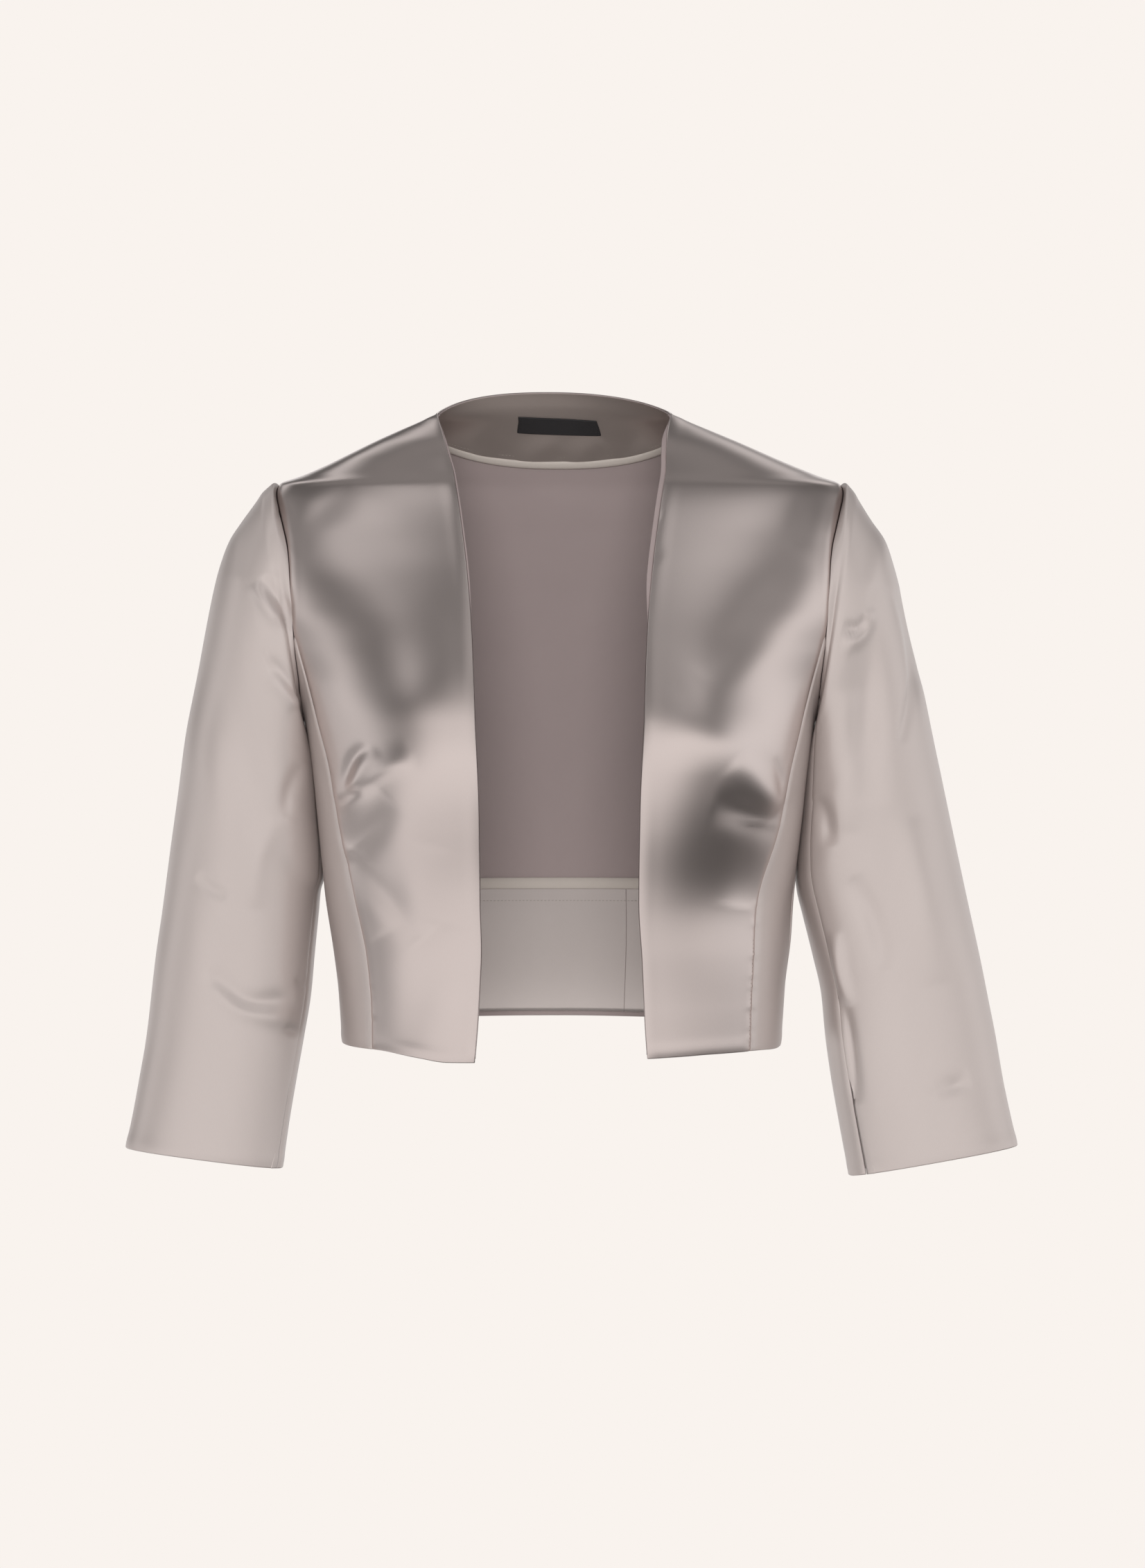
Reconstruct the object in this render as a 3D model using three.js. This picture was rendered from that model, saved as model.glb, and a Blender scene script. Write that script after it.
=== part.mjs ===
import * as THREE from 'three';

// Open bolero jacket with three-quarter sleeves, filled out as if worn. Millimetres.
// +Z is up, -Y is the front, +X is the wearer's left.
// The origin lies midway between the shoulder points at the neck.

// Cloth and the gaps between its pieces
const SHELL = 1.2;
const FACING = 1.0;
const BINDING = 1.6;
const LABEL = 1.0;
const UNDERLAP = 1.0;
const SEAM_GAP = 0.3;
const LAYER_GAP = 0.3;
const INSIDE_SHELL = SHELL + LAYER_GAP;

// General figure: half its width, depth to the front and depth to the back at each height
const FORM = [
  { z: 22, half: 76, front: 6, back: 59 },
  { z: 8, half: 77, front: 9, back: 64 },
  { z: 0, half: 78.8, front: 15, back: 68 },
  { z: -4.2, half: 86.7, front: 21, back: 70 },
  { z: -11.6, half: 103.8, front: 30, back: 73.5 },
  { z: -19, half: 121, front: 38, back: 77 },
  { z: -26.4, half: 137, front: 44, back: 80.5 },
  { z: -33.8, half: 153, front: 49, back: 83.5 },
  { z: -41.3, half: 170.8, front: 54, back: 86.5 },
  { z: -48, half: 187.5, front: 59, back: 89 },
  { z: -62, half: 193.5, front: 67, back: 92 },
  { z: -82, half: 197.5, front: 76, back: 96 },
  { z: -105, half: 198.5, front: 85, back: 99 },
  { z: -130, half: 195, front: 92.5, back: 101 },
  { z: -155, half: 187, front: 98, back: 101 },
  { z: -180, half: 177.5, front: 102.5, back: 99.5 },
  { z: -205, half: 170.5, front: 105.5, back: 97 },
  { z: -235, half: 166, front: 107.5, back: 93 },
  { z: -270, half: 162.5, front: 107, back: 89 },
  { z: -310, half: 158.6, front: 105, back: 85.5 },
  { z: -350, half: 154.4, front: 103, back: 83 },
  { z: -390, half: 149.6, front: 101, back: 81.5 },
  { z: -430, half: 147.5, front: 100, back: 82 },
  { z: -460, half: 147.5, front: 100, back: 83 },
];
const ROUNDNESS = { front: 2.35, back: 2.3 };
// Share power with which the bust and the folds die away towards the side seam
const SIDE_FADE = 8;
// Half the height over which the form's slope is taken
const SLOPE_STEP = 0.5;
const BUST = { x: 86, z: -232, out: 15, spread: 38, up: 58, down: 46 };
const LEAN = [
  { z: 16, x: -9 },
  { z: 8, x: -6 },
  { z: 0, x: -4 },
  { z: -11.6, x: -3.4 },
  { z: -26.4, x: -1.8 },
  { z: -42, x: 0 },
  { z: -320, x: 0 },
  { z: -360, x: 1.4 },
  { z: -430, x: 1 },
];

// Seams and edges of the body: distance from the centre at each height
const FRONT_EDGE = [
  { z: 0, x: 78.6 },
  { z: -12, x: 75.1 },
  { z: -37, x: 70.5 },
  { z: -58, x: 66.8 },
  { z: -77, x: 64 },
  { z: -99, x: 61.1 },
  { z: -138, x: 57.4 },
  { z: -195, x: 54 },
  { z: -260, x: 51.3 },
  { z: -328, x: 51.8 },
  { z: -393, x: 54.5 },
  { z: -430, x: 57.2 },
];
const FRONT_PRINCESS = [
  { z: -148, x: 175 },
  { z: -168, x: 169.5 },
  { z: -189, x: 163.5 },
  { z: -210, x: 157.5 },
  { z: -231, x: 151.5 },
  { z: -255, x: 147 },
  { z: -276, x: 144 },
  { z: -315, x: 135 },
  { z: -340, x: 131 },
  { z: -393, x: 125.8 },
  { z: -425, x: 125 },
];
const BACK_PRINCESS = [
  { z: -120, x: 177 },
  { z: -150, x: 142 },
  { z: -180, x: 113 },
  { z: -210, x: 93 },
  { z: -240, x: 79 },
  { z: -270, x: 71 },
  { z: -330, x: 66 },
  { z: -425, x: 62 },
];
const HEM = {
  right: [
    { turn: 19, z: -424.8 },
    { turn: 27, z: -425.2 },
    { turn: 36, z: -423 },
    { turn: 53, z: -419.6 },
    { turn: 90, z: -420.5 },
    { turn: 125, z: -416 },
    { turn: 155, z: -412 },
    { turn: 180, z: -411.8 },
  ],
  left: [
    { turn: 19, z: -422.2 },
    { turn: 27, z: -421.6 },
    { turn: 40, z: -420.8 },
    { turn: 56, z: -420.8 },
    { turn: 78, z: -422.4 },
    { turn: 90, z: -421.5 },
    { turn: 125, z: -416.5 },
    { turn: 155, z: -412.6 },
    { turn: 180, z: -411.8 },
  ],
};

// Armhole, drawn from the side, and the number of steps along each stretch of it
const ARMHOLE = { z: -126.5, height: 78.5, front: 47, back: 52, frontSharp: 1.3, backSharp: 1 };
const ARMHOLE_STRETCHES = { front: 7, sideFront: 4, sideBack: 4, back: 6 };
const FRONT_PRINCESS_TOP = -148;
const EDGE_AT_PRINCESS = -130;
const BACK_PRINCESS_TOP = -120;

// Lower body rows shared by neighbouring panels
const BINDING_TOP = -317.3;
const HEM_FACING_TOP = -324.7;
const FRONT_STEPS_BELOW = 16;
const HEM_FACING_STEPS = 4;
const SIDE_STEPS = 4;
// How the front's rows close up towards the shoulder, and how fast a panel's top and hem lines
// give way to its plain rows
const EDGE_SPACING = 1.6;
const TOP_FADE = 3;
const HEM_FADE = 5;

// Back panel: height on its side seams, height at the centre, sharpness of the curve between
const BACK_YOKE = [
  { seam: 0, centre: 16, sharp: 1.3 },
  { seam: -5, centre: -13.5, sharp: 2.4 },
  { seam: -9.6, centre: -29.7, sharp: 4 },
  { seam: -12, centre: -34.9, sharp: 4.3 },
  { seam: -30, centre: -56, sharp: 3 },
];
const BACK_CENTRE_DROP = [
  { seam: -48, drop: 25 },
  { seam: -84, drop: 16 },
  { seam: -120, drop: 8 },
  { seam: -200, drop: 0 },
  { seam: -425, drop: 0 },
];
const BACK_SEAM_LEVELS = [-150, -180, -210, -240, -268, -292];
const BACK_COLUMNS = [0, 0.06, 0.12, 0.18, 0.24, 0.3, 0.36, 0.42, 0.5];
const HEM_FACING_SEAM_COLUMN = 3;
const FRONT_COLUMNS = [0, 0.12, 0.25, 0.34, 0.43, 0.52, 0.61, 0.7, 0.79, 0.88, 0.95, 1];
const FRONT_FACING_COLUMNS = 2;
const FACING_HEM_SETBACK = 3;
const FACING_PEEK = { left: 3.2, right: 1.2, above: -145, fade: 40, full: -20 };

// Woven label on the neck facing: its middle column and its shift from it to the wearer's left, its
// reach in columns at its top and bottom edges, the shares of the first row where they lie, and its lean
const LABEL_PLACE = {
  column: 8, shift: 0.08, reachTop: 0.98, reachBottom: 0.92, top: 0.56, bottom: 0.92, lean: 0.04,
};

// Sleeves: outer and inner line of each, seen from the front
const SLEEVE_OUTER = {
  right: [
    { z: -47.3, x: 192.5 }, { z: -53, x: 199 }, { z: -57.5, x: 202.3 }, { z: -71, x: 213 },
    { z: -85, x: 221.7 }, { z: -99, x: 227 }, { z: -113, x: 231 }, { z: -141, x: 237.2 },
    { z: -169, x: 242.6 }, { z: -224, x: 252.2 }, { z: -280, x: 261 }, { z: -336, x: 268.4 },
    { z: -363, x: 272.3 }, { z: -419, x: 278.6 }, { z: -447, x: 283.3 }, { z: -475, x: 288.4 },
    { z: -492, x: 292.3 },
  ],
  left: [
    { z: -47.3, x: 192 }, { z: -53, x: 197 }, { z: -57.5, x: 199.6 }, { z: -71, x: 208.2 },
    { z: -85, x: 218 }, { z: -99, x: 223 }, { z: -113, x: 227 }, { z: -141, x: 234 },
    { z: -169, x: 241 }, { z: -224, x: 252.8 }, { z: -280, x: 264.7 }, { z: -336, x: 276.2 },
    { z: -363, x: 281.8 }, { z: -391, x: 287.3 }, { z: -419, x: 293 }, { z: -447, x: 298 },
    { z: -475, x: 304 }, { z: -490.5, x: 307.8 },
  ],
};
const SLEEVE_INNER = {
  right: [
    { z: -208, x: 172.6 }, { z: -214, x: 171 }, { z: -224, x: 168.6 }, { z: -236, x: 165.6 },
    { z: -270, x: 161.6 }, { z: -300, x: 158.9 }, { z: -311, x: 159.2 }, { z: -322, x: 162 },
    { z: -336, x: 163.3 }, { z: -364, x: 166 }, { z: -391, x: 168.4 }, { z: -419, x: 172.9 },
    { z: -447, x: 177.8 }, { z: -475, x: 182.4 }, { z: -504, x: 186.4 },
  ],
  left: [
    { z: -208, x: 172.6 }, { z: -214, x: 171 }, { z: -224, x: 168.6 }, { z: -236, x: 165.6 },
    { z: -270, x: 161.6 }, { z: -300, x: 158.9 }, { z: -311, x: 158.9 }, { z: -322, x: 160.2 },
    { z: -336, x: 163.6 }, { z: -364, x: 170.6 }, { z: -391, x: 176.6 }, { z: -419, x: 179.2 },
    { z: -447, x: 183 }, { z: -475, x: 187.8 }, { z: -509, x: 194 },
  ],
};
const SLEEVE_TOP = { outer: -47.3, inner: -208 };
const SLEEVE_LENGTH = { right: { outer: -492, inner: -506 }, left: { outer: -490.5, inner: -511 } };
// Each ring: how far down the sleeve its outer and inner points lie, its depths, where its middle
// lies behind the shoulder seam, and how much its front is lifted
const SLEEVE_RINGS = [
  { along: 0.04, outer: 0, inner: 0, front: 48.5, back: 53, middle: 3, lift: 0 },
  { along: 0.08, outer: 0.013, inner: 0.02, front: 51, back: 55.5, middle: 4, lift: 0 },
  { along: 0.13, outer: 0.045, inner: 0.05, front: 54, back: 58, middle: 7, lift: 0 },
  { along: 0.18, outer: 0.09, inner: 0.08, front: 56, back: 59.5, middle: 10.5, lift: 0 },
  { along: 0.24, outer: 0.155, inner: 0.125, front: 57, back: 60.5, middle: 14, lift: 0 },
  { along: 0.35, outer: 0.28, inner: 0.22, front: 58, back: 60, middle: 19, lift: 0 },
  { along: 0.5, outer: 0.45, inner: 0.385, front: 55, back: 57, middle: 20, lift: 0 },
  { along: 0.7, outer: 0.67, inner: 0.63, front: 47.5, back: 49, middle: 14, lift: 1 },
  { along: 0.85, outer: 0.835, inner: 0.815, front: 41, back: 42, middle: 6, lift: 2 },
  { along: 1, outer: 1, inner: 1, front: 35, back: 36, middle: -3, lift: 2.6 },
];
const SLEEVE_ROUNDNESS = 2.15;
const SLEEVE_STEPS = [
  0.04, 0.08, 0.13, 0.18, 0.24, 0.3, 0.36, 0.42, 0.48, 0.54, 0.6, 0.66, 0.72, 0.78, 0.84, 0.895,
  0.9475, 1,
];
const SLEEVE_SEAMS = { right: { front: 10, back: 18 }, left: { front: 9, back: 17 } };
const VENT = { from: 0.84, atTop: 1, atHem: 8, underlap: 12 };
// Least share of the wall's thickness kept where the sleeve turns in to the armhole
const MITRE_SHARE = 0.6;

// Largest folds: a soft trough or ridge, at its middle, with its reach along and across
const BODY_FOLDS = {
  right: [
    { x: 128, z: -262, along: 24, across: 9, slant: -62, out: -4 },
    { x: 126, z: -241, along: 20, across: 8, slant: 24, out: 2.5 },
    { x: 112, z: -318, along: 34, across: 11, slant: -50, out: -2.5 },
    { x: 150, z: -66, along: 40, across: 12, slant: 36, out: -2.5 },
  ],
  left: [
    { x: 128, z: -262, along: 24, across: 9, slant: -50, out: -4.5 },
    { x: 128, z: -240, along: 20, across: 8, slant: 30, out: 2.5 },
    { x: 105, z: -150, along: 46, across: 13, slant: 40, out: -3 },
    { x: 118, z: -300, along: 32, across: 11, slant: -58, out: -2.5 },
  ],
};
const SLEEVE_FOLDS = {
  right: [
    { along: 0.2, around: 78, length: 0.05, width: 22, out: -3 },
    { along: 0.4, around: 112, length: 0.035, width: 26, out: -3 },
    { along: 0.47, around: 20, length: 0.05, width: 30, out: 2 },
    { along: 0.77, around: 100, length: 0.045, width: 34, out: -3.5 },
    { along: 0.6, around: 250, length: 0.05, width: 34, out: -3 },
  ],
  left: [
    { along: 0.3, around: 60, length: 0.05, width: 24, out: -2.5 },
    { along: 0.45, around: 95, length: 0.05, width: 26, out: -3 },
    { along: 0.58, around: 130, length: 0.05, width: 22, out: -2.5 },
    { along: 0.72, around: 60, length: 0.06, width: 30, out: 2 },
    { along: 0.58, around: 250, length: 0.05, width: 34, out: -3 },
  ],
};

const SIDES = ['right', 'left'];
const SIGN = { right: -1, left: 1 };

const RAD = Math.PI / 180;

function clamp(value, low, high) {
  return Math.min(Math.max(value, low), high);
}

function mix(a, b, share) {
  return a + (b - a) * share;
}

function smooth(share) {
  const s = clamp(share, 0, 1);
  return s * s * (3 - 2 * s);
}

// Smooth curve through the rows of a table that never overshoots them
function curve(rows, input, output) {
  const points = rows.map((row) => [row[input], row[output]]).sort((a, b) => a[0] - b[0]);
  const last = points.length - 1;
  const slopes = points.slice(1).map((p, i) => (p[1] - points[i][1]) / (p[0] - points[i][0]));
  const tangents = points.map((p, i) => {
    if (i === 0) return slopes[0];
    if (i === last) return slopes[last - 1];
    const product = slopes[i - 1] * slopes[i];
    return product <= 0 ? 0 : (2 * product) / (slopes[i - 1] + slopes[i]);
  });
  return (value) => {
    const x = clamp(value, points[0][0], points[last][0]);
    const i = clamp(points.findIndex((p) => p[0] >= x) - 1, 0, last - 1);
    const width = points[i + 1][0] - points[i][0];
    const t = (x - points[i][0]) / width;
    const rise = points[i + 1][1] - points[i][1];
    const bend = tangents[i] * width * t * (1 - t) ** 2 - tangents[i + 1] * width * t * t * (1 - t);
    return points[i][1] + rise * smooth(t) + bend;
  };
}

const halfWidth = curve(FORM, 'z', 'half');
const depth = { front: curve(FORM, 'z', 'front'), back: curve(FORM, 'z', 'back') };
const lean = curve(LEAN, 'z', 'x');
const frontEdge = curve(FRONT_EDGE, 'z', 'x');
const frontPrincess = curve(FRONT_PRINCESS, 'z', 'x');
const backPrincess = curve(BACK_PRINCESS, 'z', 'x');
const hemHeight = { right: curve(HEM.right, 'turn', 'z'), left: curve(HEM.left, 'turn', 'z') };
const centreDrop = curve(BACK_CENTRE_DROP, 'seam', 'drop');

// A soft trough or ridge, 1 at its middle
function fold(across, along, widths) {
  return Math.exp(-0.5 * ((across / widths.across) ** 2 + (along / widths.along) ** 2));
}

function bodyBulge(x, z, side) {
  const rise = z > BUST.z ? BUST.up : BUST.down;
  const cup = fold(x - BUST.x, z - BUST.z, { across: BUST.spread, along: rise });
  let out = BUST.out * cup;
  for (const f of BODY_FOLDS[side]) {
    const slant = f.slant * RAD;
    const dx = x - f.x;
    const dz = z - f.z;
    const along = dx * Math.cos(slant) + dz * Math.sin(slant);
    const across = dz * Math.cos(slant) - dx * Math.sin(slant);
    out += f.out * fold(across, along, f);
  }
  return out;
}

// Point of the body and the direction out of it. The turn is 0 at the front and 180 at the back.
function bodyPoint(turnAround, z, sideName) {
  const side = turnAround > 180 ? 'right' : sideName;
  const turn = turnAround > 180 ? 360 - turnAround : turnAround;
  const face = turn <= 90 ? 'front' : 'back';
  const n = ROUNDNESS[face];
  const half = halfWidth(z);
  const deep = depth[face](z);
  const wide = Math.abs(Math.sin(turn * RAD)) ** (2 / n);
  const far = turn === 90 ? 0 : Math.abs(Math.cos(turn * RAD)) ** (2 / n);
  const halfSlope = halfWidth(z + SLOPE_STEP) - halfWidth(z - SLOPE_STEP);
  const deepSlope = depth[face](z + SLOPE_STEP) - depth[face](z - SLOPE_STEP);
  const forward = face === 'front' ? -1 : 1;
  const out = new THREE.Vector3(
    SIGN[side] * (wide ** (n - 1) / half),
    forward * (far ** (n - 1) / deep),
    -(wide ** n * halfSlope) / half - (far ** n * deepSlope) / deep,
  ).normalize();
  const point = new THREE.Vector3(SIGN[side] * half * wide + lean(z), forward * deep * far, z);
  const fade = face === 'front' ? 1 - wide ** SIDE_FADE : 0;
  point.addScaledVector(out, bodyBulge(half * wide, z, side) * fade);
  return { point, out };
}

function turnAt(x, z, face) {
  const share = clamp(x / halfWidth(z), 0, 1) ** (ROUNDNESS[face] / 2);
  const turn = Math.asin(share) / RAD;
  return face === 'front' ? turn : 180 - turn;
}

// Armhole stations, counted from the shoulder tip round the front, the underarm and the back
function stretch(from, to, steps) {
  return Array.from({ length: steps }, (_, i) => mix(from, to, (i + 1) / steps));
}

function armholeAngle(z) {
  return Math.acos((z - ARMHOLE.z) / ARMHOLE.height) / RAD;
}

const STATIONS = [
  0,
  ...stretch(0, armholeAngle(FRONT_PRINCESS_TOP), ARMHOLE_STRETCHES.front),
  ...stretch(armholeAngle(FRONT_PRINCESS_TOP), 180, ARMHOLE_STRETCHES.sideFront),
  ...stretch(180, 360 - armholeAngle(BACK_PRINCESS_TOP), ARMHOLE_STRETCHES.sideBack),
  ...stretch(360 - armholeAngle(BACK_PRINCESS_TOP), 360, ARMHOLE_STRETCHES.back),
];
const STATION_COUNT = STATIONS.length - 1;
const UNDERARM_STATION = ARMHOLE_STRETCHES.front + ARMHOLE_STRETCHES.sideFront;
const BACK_PRINCESS_STATION = UNDERARM_STATION + ARMHOLE_STRETCHES.sideBack;

function armholeSpot(station) {
  const angle = STATIONS[station] * RAD;
  const face = STATIONS[station] <= 180 ? 'front' : 'back';
  const z = ARMHOLE.z + ARMHOLE.height * Math.cos(angle);
  const away = Math.abs(Math.sin(angle)) ** ARMHOLE[`${face}Sharp`] * ARMHOLE[face];
  const atEnd = away < 1e-6;
  const turn = Math.acos((away / depth[face](z)) ** (ROUNDNESS[face] / 2)) / RAD;
  if (atEnd) return { turn: 90, z, station };
  return { turn: face === 'front' ? turn : 180 - turn, z, station };
}

// Sleeve surface before it is cut into pieces
const ring = Object.fromEntries(
  ['outer', 'inner', 'front', 'back', 'middle', 'lift'].map((key) => [key, curve(SLEEVE_RINGS, 'along', key)]),
);
const sleeveOuter = {
  right: curve(SLEEVE_OUTER.right, 'z', 'x'),
  left: curve(SLEEVE_OUTER.left, 'z', 'x'),
};
const sleeveInner = {
  right: curve(SLEEVE_INNER.right, 'z', 'x'),
  left: curve(SLEEVE_INNER.left, 'z', 'x'),
};

function sleeveBulge(along, angle, side) {
  let out = 0;
  for (const f of SLEEVE_FOLDS[side]) {
    out += f.out * fold(angle - f.around, along - f.along, { across: f.width, along: f.length });
  }
  return out;
}

function sleevePoint(side, along, angle) {
  const outerZ = mix(SLEEVE_TOP.outer, SLEEVE_LENGTH[side].outer, ring.outer(along));
  const innerZ = mix(SLEEVE_TOP.inner, SLEEVE_LENGTH[side].inner, ring.inner(along));
  const outerX = sleeveOuter[side](outerZ);
  const innerX = sleeveInner[side](innerZ);
  const power = 2 / SLEEVE_ROUNDNESS;
  const sine = Math.sin(angle * RAD);
  const cosine = Math.cos(angle * RAD);
  const across = Math.sign(cosine) * Math.abs(cosine) ** power;
  const forth = Math.abs(sine) ** power;
  const deep = angle <= 180 ? -ring.front(along) : ring.back(along);
  const puff = 1 + sleeveBulge(along, angle, side) / ring.front(along);
  const x = mix(innerX, outerX, 0.5) + 0.5 * (outerX - innerX) * across * puff;
  const lift = -Math.sign(deep) * forth * ring.lift(along);
  const z = mix(innerZ, outerZ, 0.5) + 0.5 * (outerZ - innerZ) * across + lift;
  return new THREE.Vector3(SIGN[side] * x, ring.middle(along) + deep * forth * puff, z);
}

function sleeveRings(side) {
  const armhole = STATIONS.map((_, i) => {
    const spot = armholeSpot(i % STATION_COUNT);
    return bodyPoint(spot.turn, spot.z, side);
  });
  const points = [armhole.map((spot) => spot.point)];
  for (const along of SLEEVE_STEPS) {
    points.push(STATIONS.map((angle) => sleevePoint(side, along, angle)));
  }
  const rings = points.map((row, i) => row.map((point, j) => {
    const before = row[(j + STATION_COUNT - 1) % STATION_COUNT];
    const after = row[(j + 1) % STATION_COUNT];
    const upper = points[Math.max(i - 1, 0)][j];
    const lower = points[Math.min(i + 1, points.length - 1)][j];
    const around = after.clone().sub(before);
    const down = lower.clone().sub(upper);
    const out = around.cross(down).normalize().multiplyScalar(SIGN[side]);
    return { point, out };
  }));
  rings[0].forEach((spot, j) => {
    const bodyOut = armhole[j].out;
    const mitre = bodyOut.clone().add(spot.out).normalize();
    spot.out = mitre.divideScalar(Math.max(mitre.dot(bodyOut), MITRE_SHARE));
  });
  return rings;
}

const SLEEVES = { right: sleeveRings('right'), left: sleeveRings('left') };

// Panels are grids of points with the direction out of the cloth at each
function gridSpot(spot, side) {
  const { point, out } = bodyPoint(spot.turn, spot.z, side);
  if (spot.station === undefined) return { point, out };
  return { point, out: SLEEVES[side][0][spot.station].out };
}

function between(a, b, share) {
  return { turn: mix(a.turn, b.turn, share), z: mix(a.z, b.z, share) };
}

// A four-sided panel from its two sides, with its top and hem drawn exactly
function panel(side, first, last, columns, top) {
  const end = first.length - 1;
  return first.map((a, i) => columns.map((share) => {
    const b = last[i];
    if (share === 0) return gridSpot(a, side);
    if (share === 1) return gridSpot(b, side);
    if (i === 0 && top) return gridSpot(top(share), side);
    const spot = between(a, b, share);
    const topWeight = (1 - i / end) ** TOP_FADE;
    const hemWeight = (i / end) ** HEM_FADE;
    if (top) {
      const straight = between(first[0], last[0], share);
      const wanted = top(share);
      spot.turn += topWeight * (wanted.turn - straight.turn);
      spot.z += topWeight * (wanted.z - straight.z);
    }
    const straightHem = between(first[end], last[end], share);
    spot.z += hemWeight * (hemHeight[side](straightHem.turn) - straightHem.z);
    return gridSpot(spot, side);
  }));
}

function onSeam(x, z, face) {
  return { turn: turnAt(x, z, face), z };
}

// Foot of a seam that runs down to the hem
function hemFoot(seamX, face, side) {
  const nearHem = -420;
  const z = hemHeight[side](turnAt(seamX(nearHem), nearHem, face));
  return { turn: turnAt(seamX(z), z, face), z };
}

function frontGrid(side) {
  const foot = hemFoot(frontEdge, 'front', side);
  const seamFoot = hemFoot(frontPrincess, 'front', side);
  const upper = ARMHOLE_STRETCHES.front;
  const upperEdge = [{ turn: 90, z: 0 }];
  for (const share of stretch(0, 1, upper)) {
    const z = EDGE_AT_PRINCESS * share ** EDGE_SPACING;
    upperEdge.push(onSeam(frontEdge(z), z, 'front'));
  }
  const lowerEdge = stretch(EDGE_AT_PRINCESS, foot.z, FRONT_STEPS_BELOW)
    .map((z) => onSeam(frontEdge(z), z, 'front'));
  const armhole = Array.from({ length: upper + 1 }, (_, i) => armholeSpot(i));
  const princess = stretch(FRONT_PRINCESS_TOP, seamFoot.z, FRONT_STEPS_BELOW)
    .map((z) => onSeam(frontPrincess(z), z, 'front'));
  return panel(side, [...upperEdge, ...lowerEdge], [...armhole, ...princess], FRONT_COLUMNS, null);
}

const EVEN_COLUMNS = Array.from({ length: SIDE_STEPS + 1 }, (_, i) => i / SIDE_STEPS);

function armholeTop(from, to) {
  return (share) => armholeSpot(Math.round(mix(from, to, share)));
}

function sideFrontGrid(side) {
  const seamFoot = hemFoot(frontPrincess, 'front', side);
  const start = armholeSpot(ARMHOLE_STRETCHES.front);
  const underarm = armholeSpot(UNDERARM_STATION);
  const princess = stretch(FRONT_PRINCESS_TOP, seamFoot.z, FRONT_STEPS_BELOW)
    .map((z) => onSeam(frontPrincess(z), z, 'front'));
  const sideSeam = stretch(underarm.z, hemHeight[side](90), FRONT_STEPS_BELOW).map((z) => ({ turn: 90, z }));
  const top = armholeTop(ARMHOLE_STRETCHES.front, UNDERARM_STATION);
  return panel(side, [start, ...princess], [underarm, ...sideSeam], EVEN_COLUMNS, top);
}

function backSeamLevels(side) {
  const foot = hemFoot(backPrincess, 'back', side).z;
  return [
    ...BACK_SEAM_LEVELS,
    BINDING_TOP,
    HEM_FACING_TOP,
    ...stretch(HEM_FACING_TOP, foot, HEM_FACING_STEPS),
  ];
}

function sideBackGrid(side) {
  const underarm = armholeSpot(UNDERARM_STATION);
  const start = armholeSpot(BACK_PRINCESS_STATION);
  const levels = backSeamLevels(side);
  const princess = levels.map((z) => onSeam(backPrincess(z), z, 'back'));
  const aboveFacing = stretch(underarm.z, BINDING_TOP, BACK_SEAM_LEVELS.length + 1);
  const facing = [HEM_FACING_TOP, ...stretch(HEM_FACING_TOP, hemHeight[side](90), HEM_FACING_STEPS)];
  const sideSeam = [...aboveFacing, ...facing].map((z) => ({ turn: 90, z }));
  const top = armholeTop(UNDERARM_STATION, BACK_PRINCESS_STATION);
  return panel(side, [underarm, ...sideSeam], [start, ...princess], EVEN_COLUMNS, top);
}

// Rows of half the back, from its side seams to the centre
function backRows(side) {
  const rows = BACK_YOKE.map((row) => ({ ...row, spot: { turn: 90, z: row.seam } }));
  for (let i = ARMHOLE_STRETCHES.back; i >= 0; i -= 1) {
    const spot = armholeSpot(BACK_PRINCESS_STATION + i);
    spot.station %= STATION_COUNT;
    rows.push({ spot, centre: spot.z - centreDrop(spot.z), sharp: 2 });
  }
  const levels = backSeamLevels(side);
  const foot = levels[levels.length - 1];
  for (const z of levels) {
    const toHem = smooth((HEM_FACING_TOP - z) / (HEM_FACING_TOP - foot));
    const drop = mix(centreDrop(z), foot - hemHeight[side](180), toHem);
    rows.push({ spot: onSeam(backPrincess(z), z, 'back'), centre: z - drop, sharp: 2 });
  }
  return rows;
}

function backGrid() {
  const columns = [...BACK_COLUMNS, ...BACK_COLUMNS.slice(0, -1).reverse().map((share) => 1 - share)];
  const rows = { left: backRows('left'), right: backRows('right') };
  return rows.left.map((_, i) => columns.map((share, j) => {
    const side = share > 0.5 ? 'right' : 'left';
    const { spot, centre, sharp } = rows[side][i];
    if (j === 0 || j === columns.length - 1) return gridSpot(spot, side);
    const bell = Math.sin(Math.PI * share) ** sharp;
    const turn = mix(spot.turn, 360 - spot.turn, share);
    return gridSpot({ turn, z: mix(spot.z, centre, bell) }, side);
  }));
}

function copyGrid(grid) {
  return grid.map((row) => row.map((spot) => ({ point: spot.point.clone(), out: spot.out.clone() })));
}

function part(grid, firstRow, lastRow, firstColumn, lastColumn) {
  return copyGrid(grid.slice(firstRow, lastRow + 1).map((row) => row.slice(firstColumn, lastColumn + 1)));
}

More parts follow.
